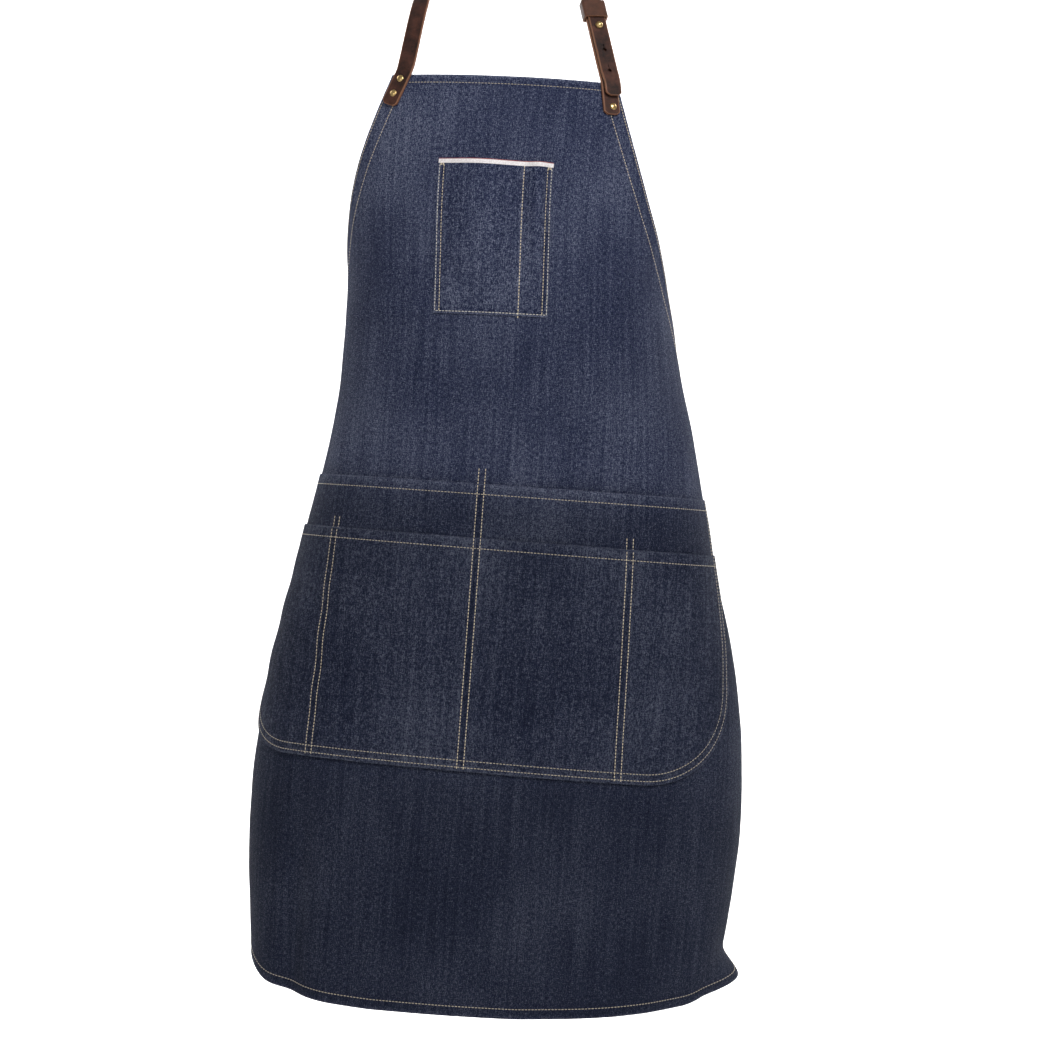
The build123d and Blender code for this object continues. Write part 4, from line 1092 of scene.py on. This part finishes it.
WAIST_LEVEL, WAIST_LIFT, WAIST_INSET = 373.0, DENIM + 0.7, 34.0
STRAP_RISE = LEATHER + LEATHER_GAP + 0.2        # of the waist strap, where it lies on its tab
tab_end = HALF_WIDTH + 94.0
waist_stud, waist_keeper_at = tab_end - 32.0, tab_end - 12.0
waist_x, waist_y = outline(WAIST_LEVEL, section_columns(np.array([WAIST_LEVEL]))[0])
GIRTH = np.sum(np.hypot(np.diff(waist_x), np.diff(waist_y)))


def around(u):
    """The same place round the waist, within half a girth of the centre line."""
    return (np.asarray(u, float) + GIRTH / 2) % GIRTH - GIRTH / 2


def waist_band(name, start, end, lift):
    """A strap along the waist from start to end across, with rounded corners."""
    count = int(abs(end - start) / 4) + 2
    nip = np.sign(end - start) * 0.2
    places = np.insert(np.linspace(start, end, count), [1, count - 1], [start + nip, end - nip])
    base, _, _, out = cloth_axes(around(places), WAIST_LEVEL)
    centres = base + out * (lift(places) + LEATHER / 2)[:, None]
    tips = np.minimum(np.abs(places - start), np.abs(places - end))
    widths = np.interp(tips, [0.0, 0.2, CLIP], [STRAP_HALF - CLIP - 0.3, STRAP_HALF - CLIP, STRAP_HALF])
    return strap_mesh(name, centres, out, widths)


def climbing(u):
    free_end = tab_end - GIRTH
    climb = 1 - ease(u, free_end + 2, free_end + 12)
    return WAIST_LIFT + STRAP_RISE * climb


def level_lift(u):
    return WAIST_LIFT + 0 * u


waist_tab = waist_band("waist_tab_leather", HALF_WIDTH - WAIST_INSET, tab_end, level_lift)
waist_strap = waist_band("waist_strap_leather", WAIST_INSET - HALF_WIDTH, waist_stud - 65 - GIRTH, climbing)


def waist_place(u, lift):
    base, leftward, _, out = cloth_axes(around(u), WAIST_LEVEL)
    return Place(base + out * lift, leftward, out)


over = WAIST_LIFT + STRAP_RISE + LEATHER / 2
cut_holes(waist_strap, [waist_place(waist_stud - 24 * k, over) for k in range(3)])
waist_keeper = keeper_mesh(
    "waist_keeper_leather", waist_place(waist_keeper_at, WAIST_LIFT), 12.0, LEATHER + STRAP_RISE
)
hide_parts("waist_tab")
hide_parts("waist_strap")
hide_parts("waist_keeper")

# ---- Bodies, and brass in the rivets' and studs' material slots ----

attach(neck_keeper, "neck_keeper")
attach(waist_keeper, "waist_keeper")
for piece in (waist_tab, waist_strap):
    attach(piece, "apron")
pocket_pieces = chest_parts + [part for _, parts, _ in waist_layers for part in parts]
cloth_pieces = [cloth, chest, tan_stitches, pale_stitches, dull_stitches] + cloth_parts + pocket_pieces
for piece in cloth_pieces + [layer for layer, _, _ in waist_layers]:
    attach(piece, "apron")

for name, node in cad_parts.items():
    if "rivet" in name or "stud" in name:
        for material_slot in node.material_slots:
            material_slot.material = BRASS_LOOK


# ---- Stage, light and camera ----


def stage_material(name, colour):
    material, _, shader = node_material(name)
    shader.inputs["Base Color"].default_value = (*colour, 1.0)
    shader.inputs["Roughness"].default_value = 0.9
    return material


def backdrop():
    """A pale floor that curves up into a wall far behind."""
    floor_z, near, far, radius, top, half = -1420.0, -6500.0, 3600.0, 900.0, 4200.0, 6000.0
    profile = [(near, floor_z)]
    for angle in np.linspace(0, math.pi / 2, 24):
        profile.append((far - radius + radius * math.sin(angle), floor_z + radius - radius * math.cos(angle)))
    profile.append((far, top))
    points = [(x, y, z) for y, z in profile for x in (-half, half)]
    faces = [(2 * k, 2 * k + 1, 2 * k + 3, 2 * k + 2) for k in range(len(profile) - 1)]
    return new_mesh("backdrop", points, faces, stage_material("paper", (0.86, 0.86, 0.86)), 80.0)


def area_light(name, place, target, size, power):
    data = bpy.data.lights.new(name, "AREA")
    data.shape, data.size, data.energy = "DISK", size, power
    light = bpy.data.objects.new(name, data)
    light.location = place
    light.rotation_euler = (Vector(target) - Vector(place)).to_track_quat("-Z", "Y").to_euler()
    bpy.context.scene.collection.objects.link(light)
    return light


stage = [
    backdrop(),
    area_light("key_light", (1.1, -2.9, 1.7), (0.0, -0.1, -0.35), 1.1, 88.0),
    area_light("fill_light", (-1.6, -3.0, 0.2), (0.0, -0.1, -0.5), 1.8, 12.0),
    area_light("paper_light_left", (-2.5, 1.7, 1.7), (-1.9, 3.6, 0.2), 2.0, 230.0),
    area_light("paper_light_right", (2.5, 1.7, 1.7), (1.9, 3.6, 0.2), 2.0, 230.0),
]

scene = bpy.context.scene
world = bpy.data.worlds.new("studio")
world.use_nodes = True
world.node_tree.nodes["Background"].inputs["Color"].default_value = (1.0, 1.0, 1.0, 1.0)
world.node_tree.nodes["Background"].inputs["Strength"].default_value = 0.27
scene.world = world
scene.view_settings.view_transform = "Standard"

# In mm. The frame is 998.4 wide at the camera's distance.
SENSOR_WIDTH, HALF_FRAME, CAMERA_DISTANCE = 36.0, 499.2, 3000.0
camera_data = bpy.data.cameras.new("camera")
camera_data.sensor_width = SENSOR_WIDTH
camera_data.lens = SENSOR_WIDTH / 2 / (HALF_FRAME / CAMERA_DISTANCE)
camera_data.clip_end = 50.0
camera = bpy.data.objects.new("camera", camera_data)
camera.location = (0.0144, -3.205, -0.564)
camera.rotation_euler = (math.pi / 2, 0.0, 0.0)
scene.collection.objects.link(camera)
scene.camera = camera
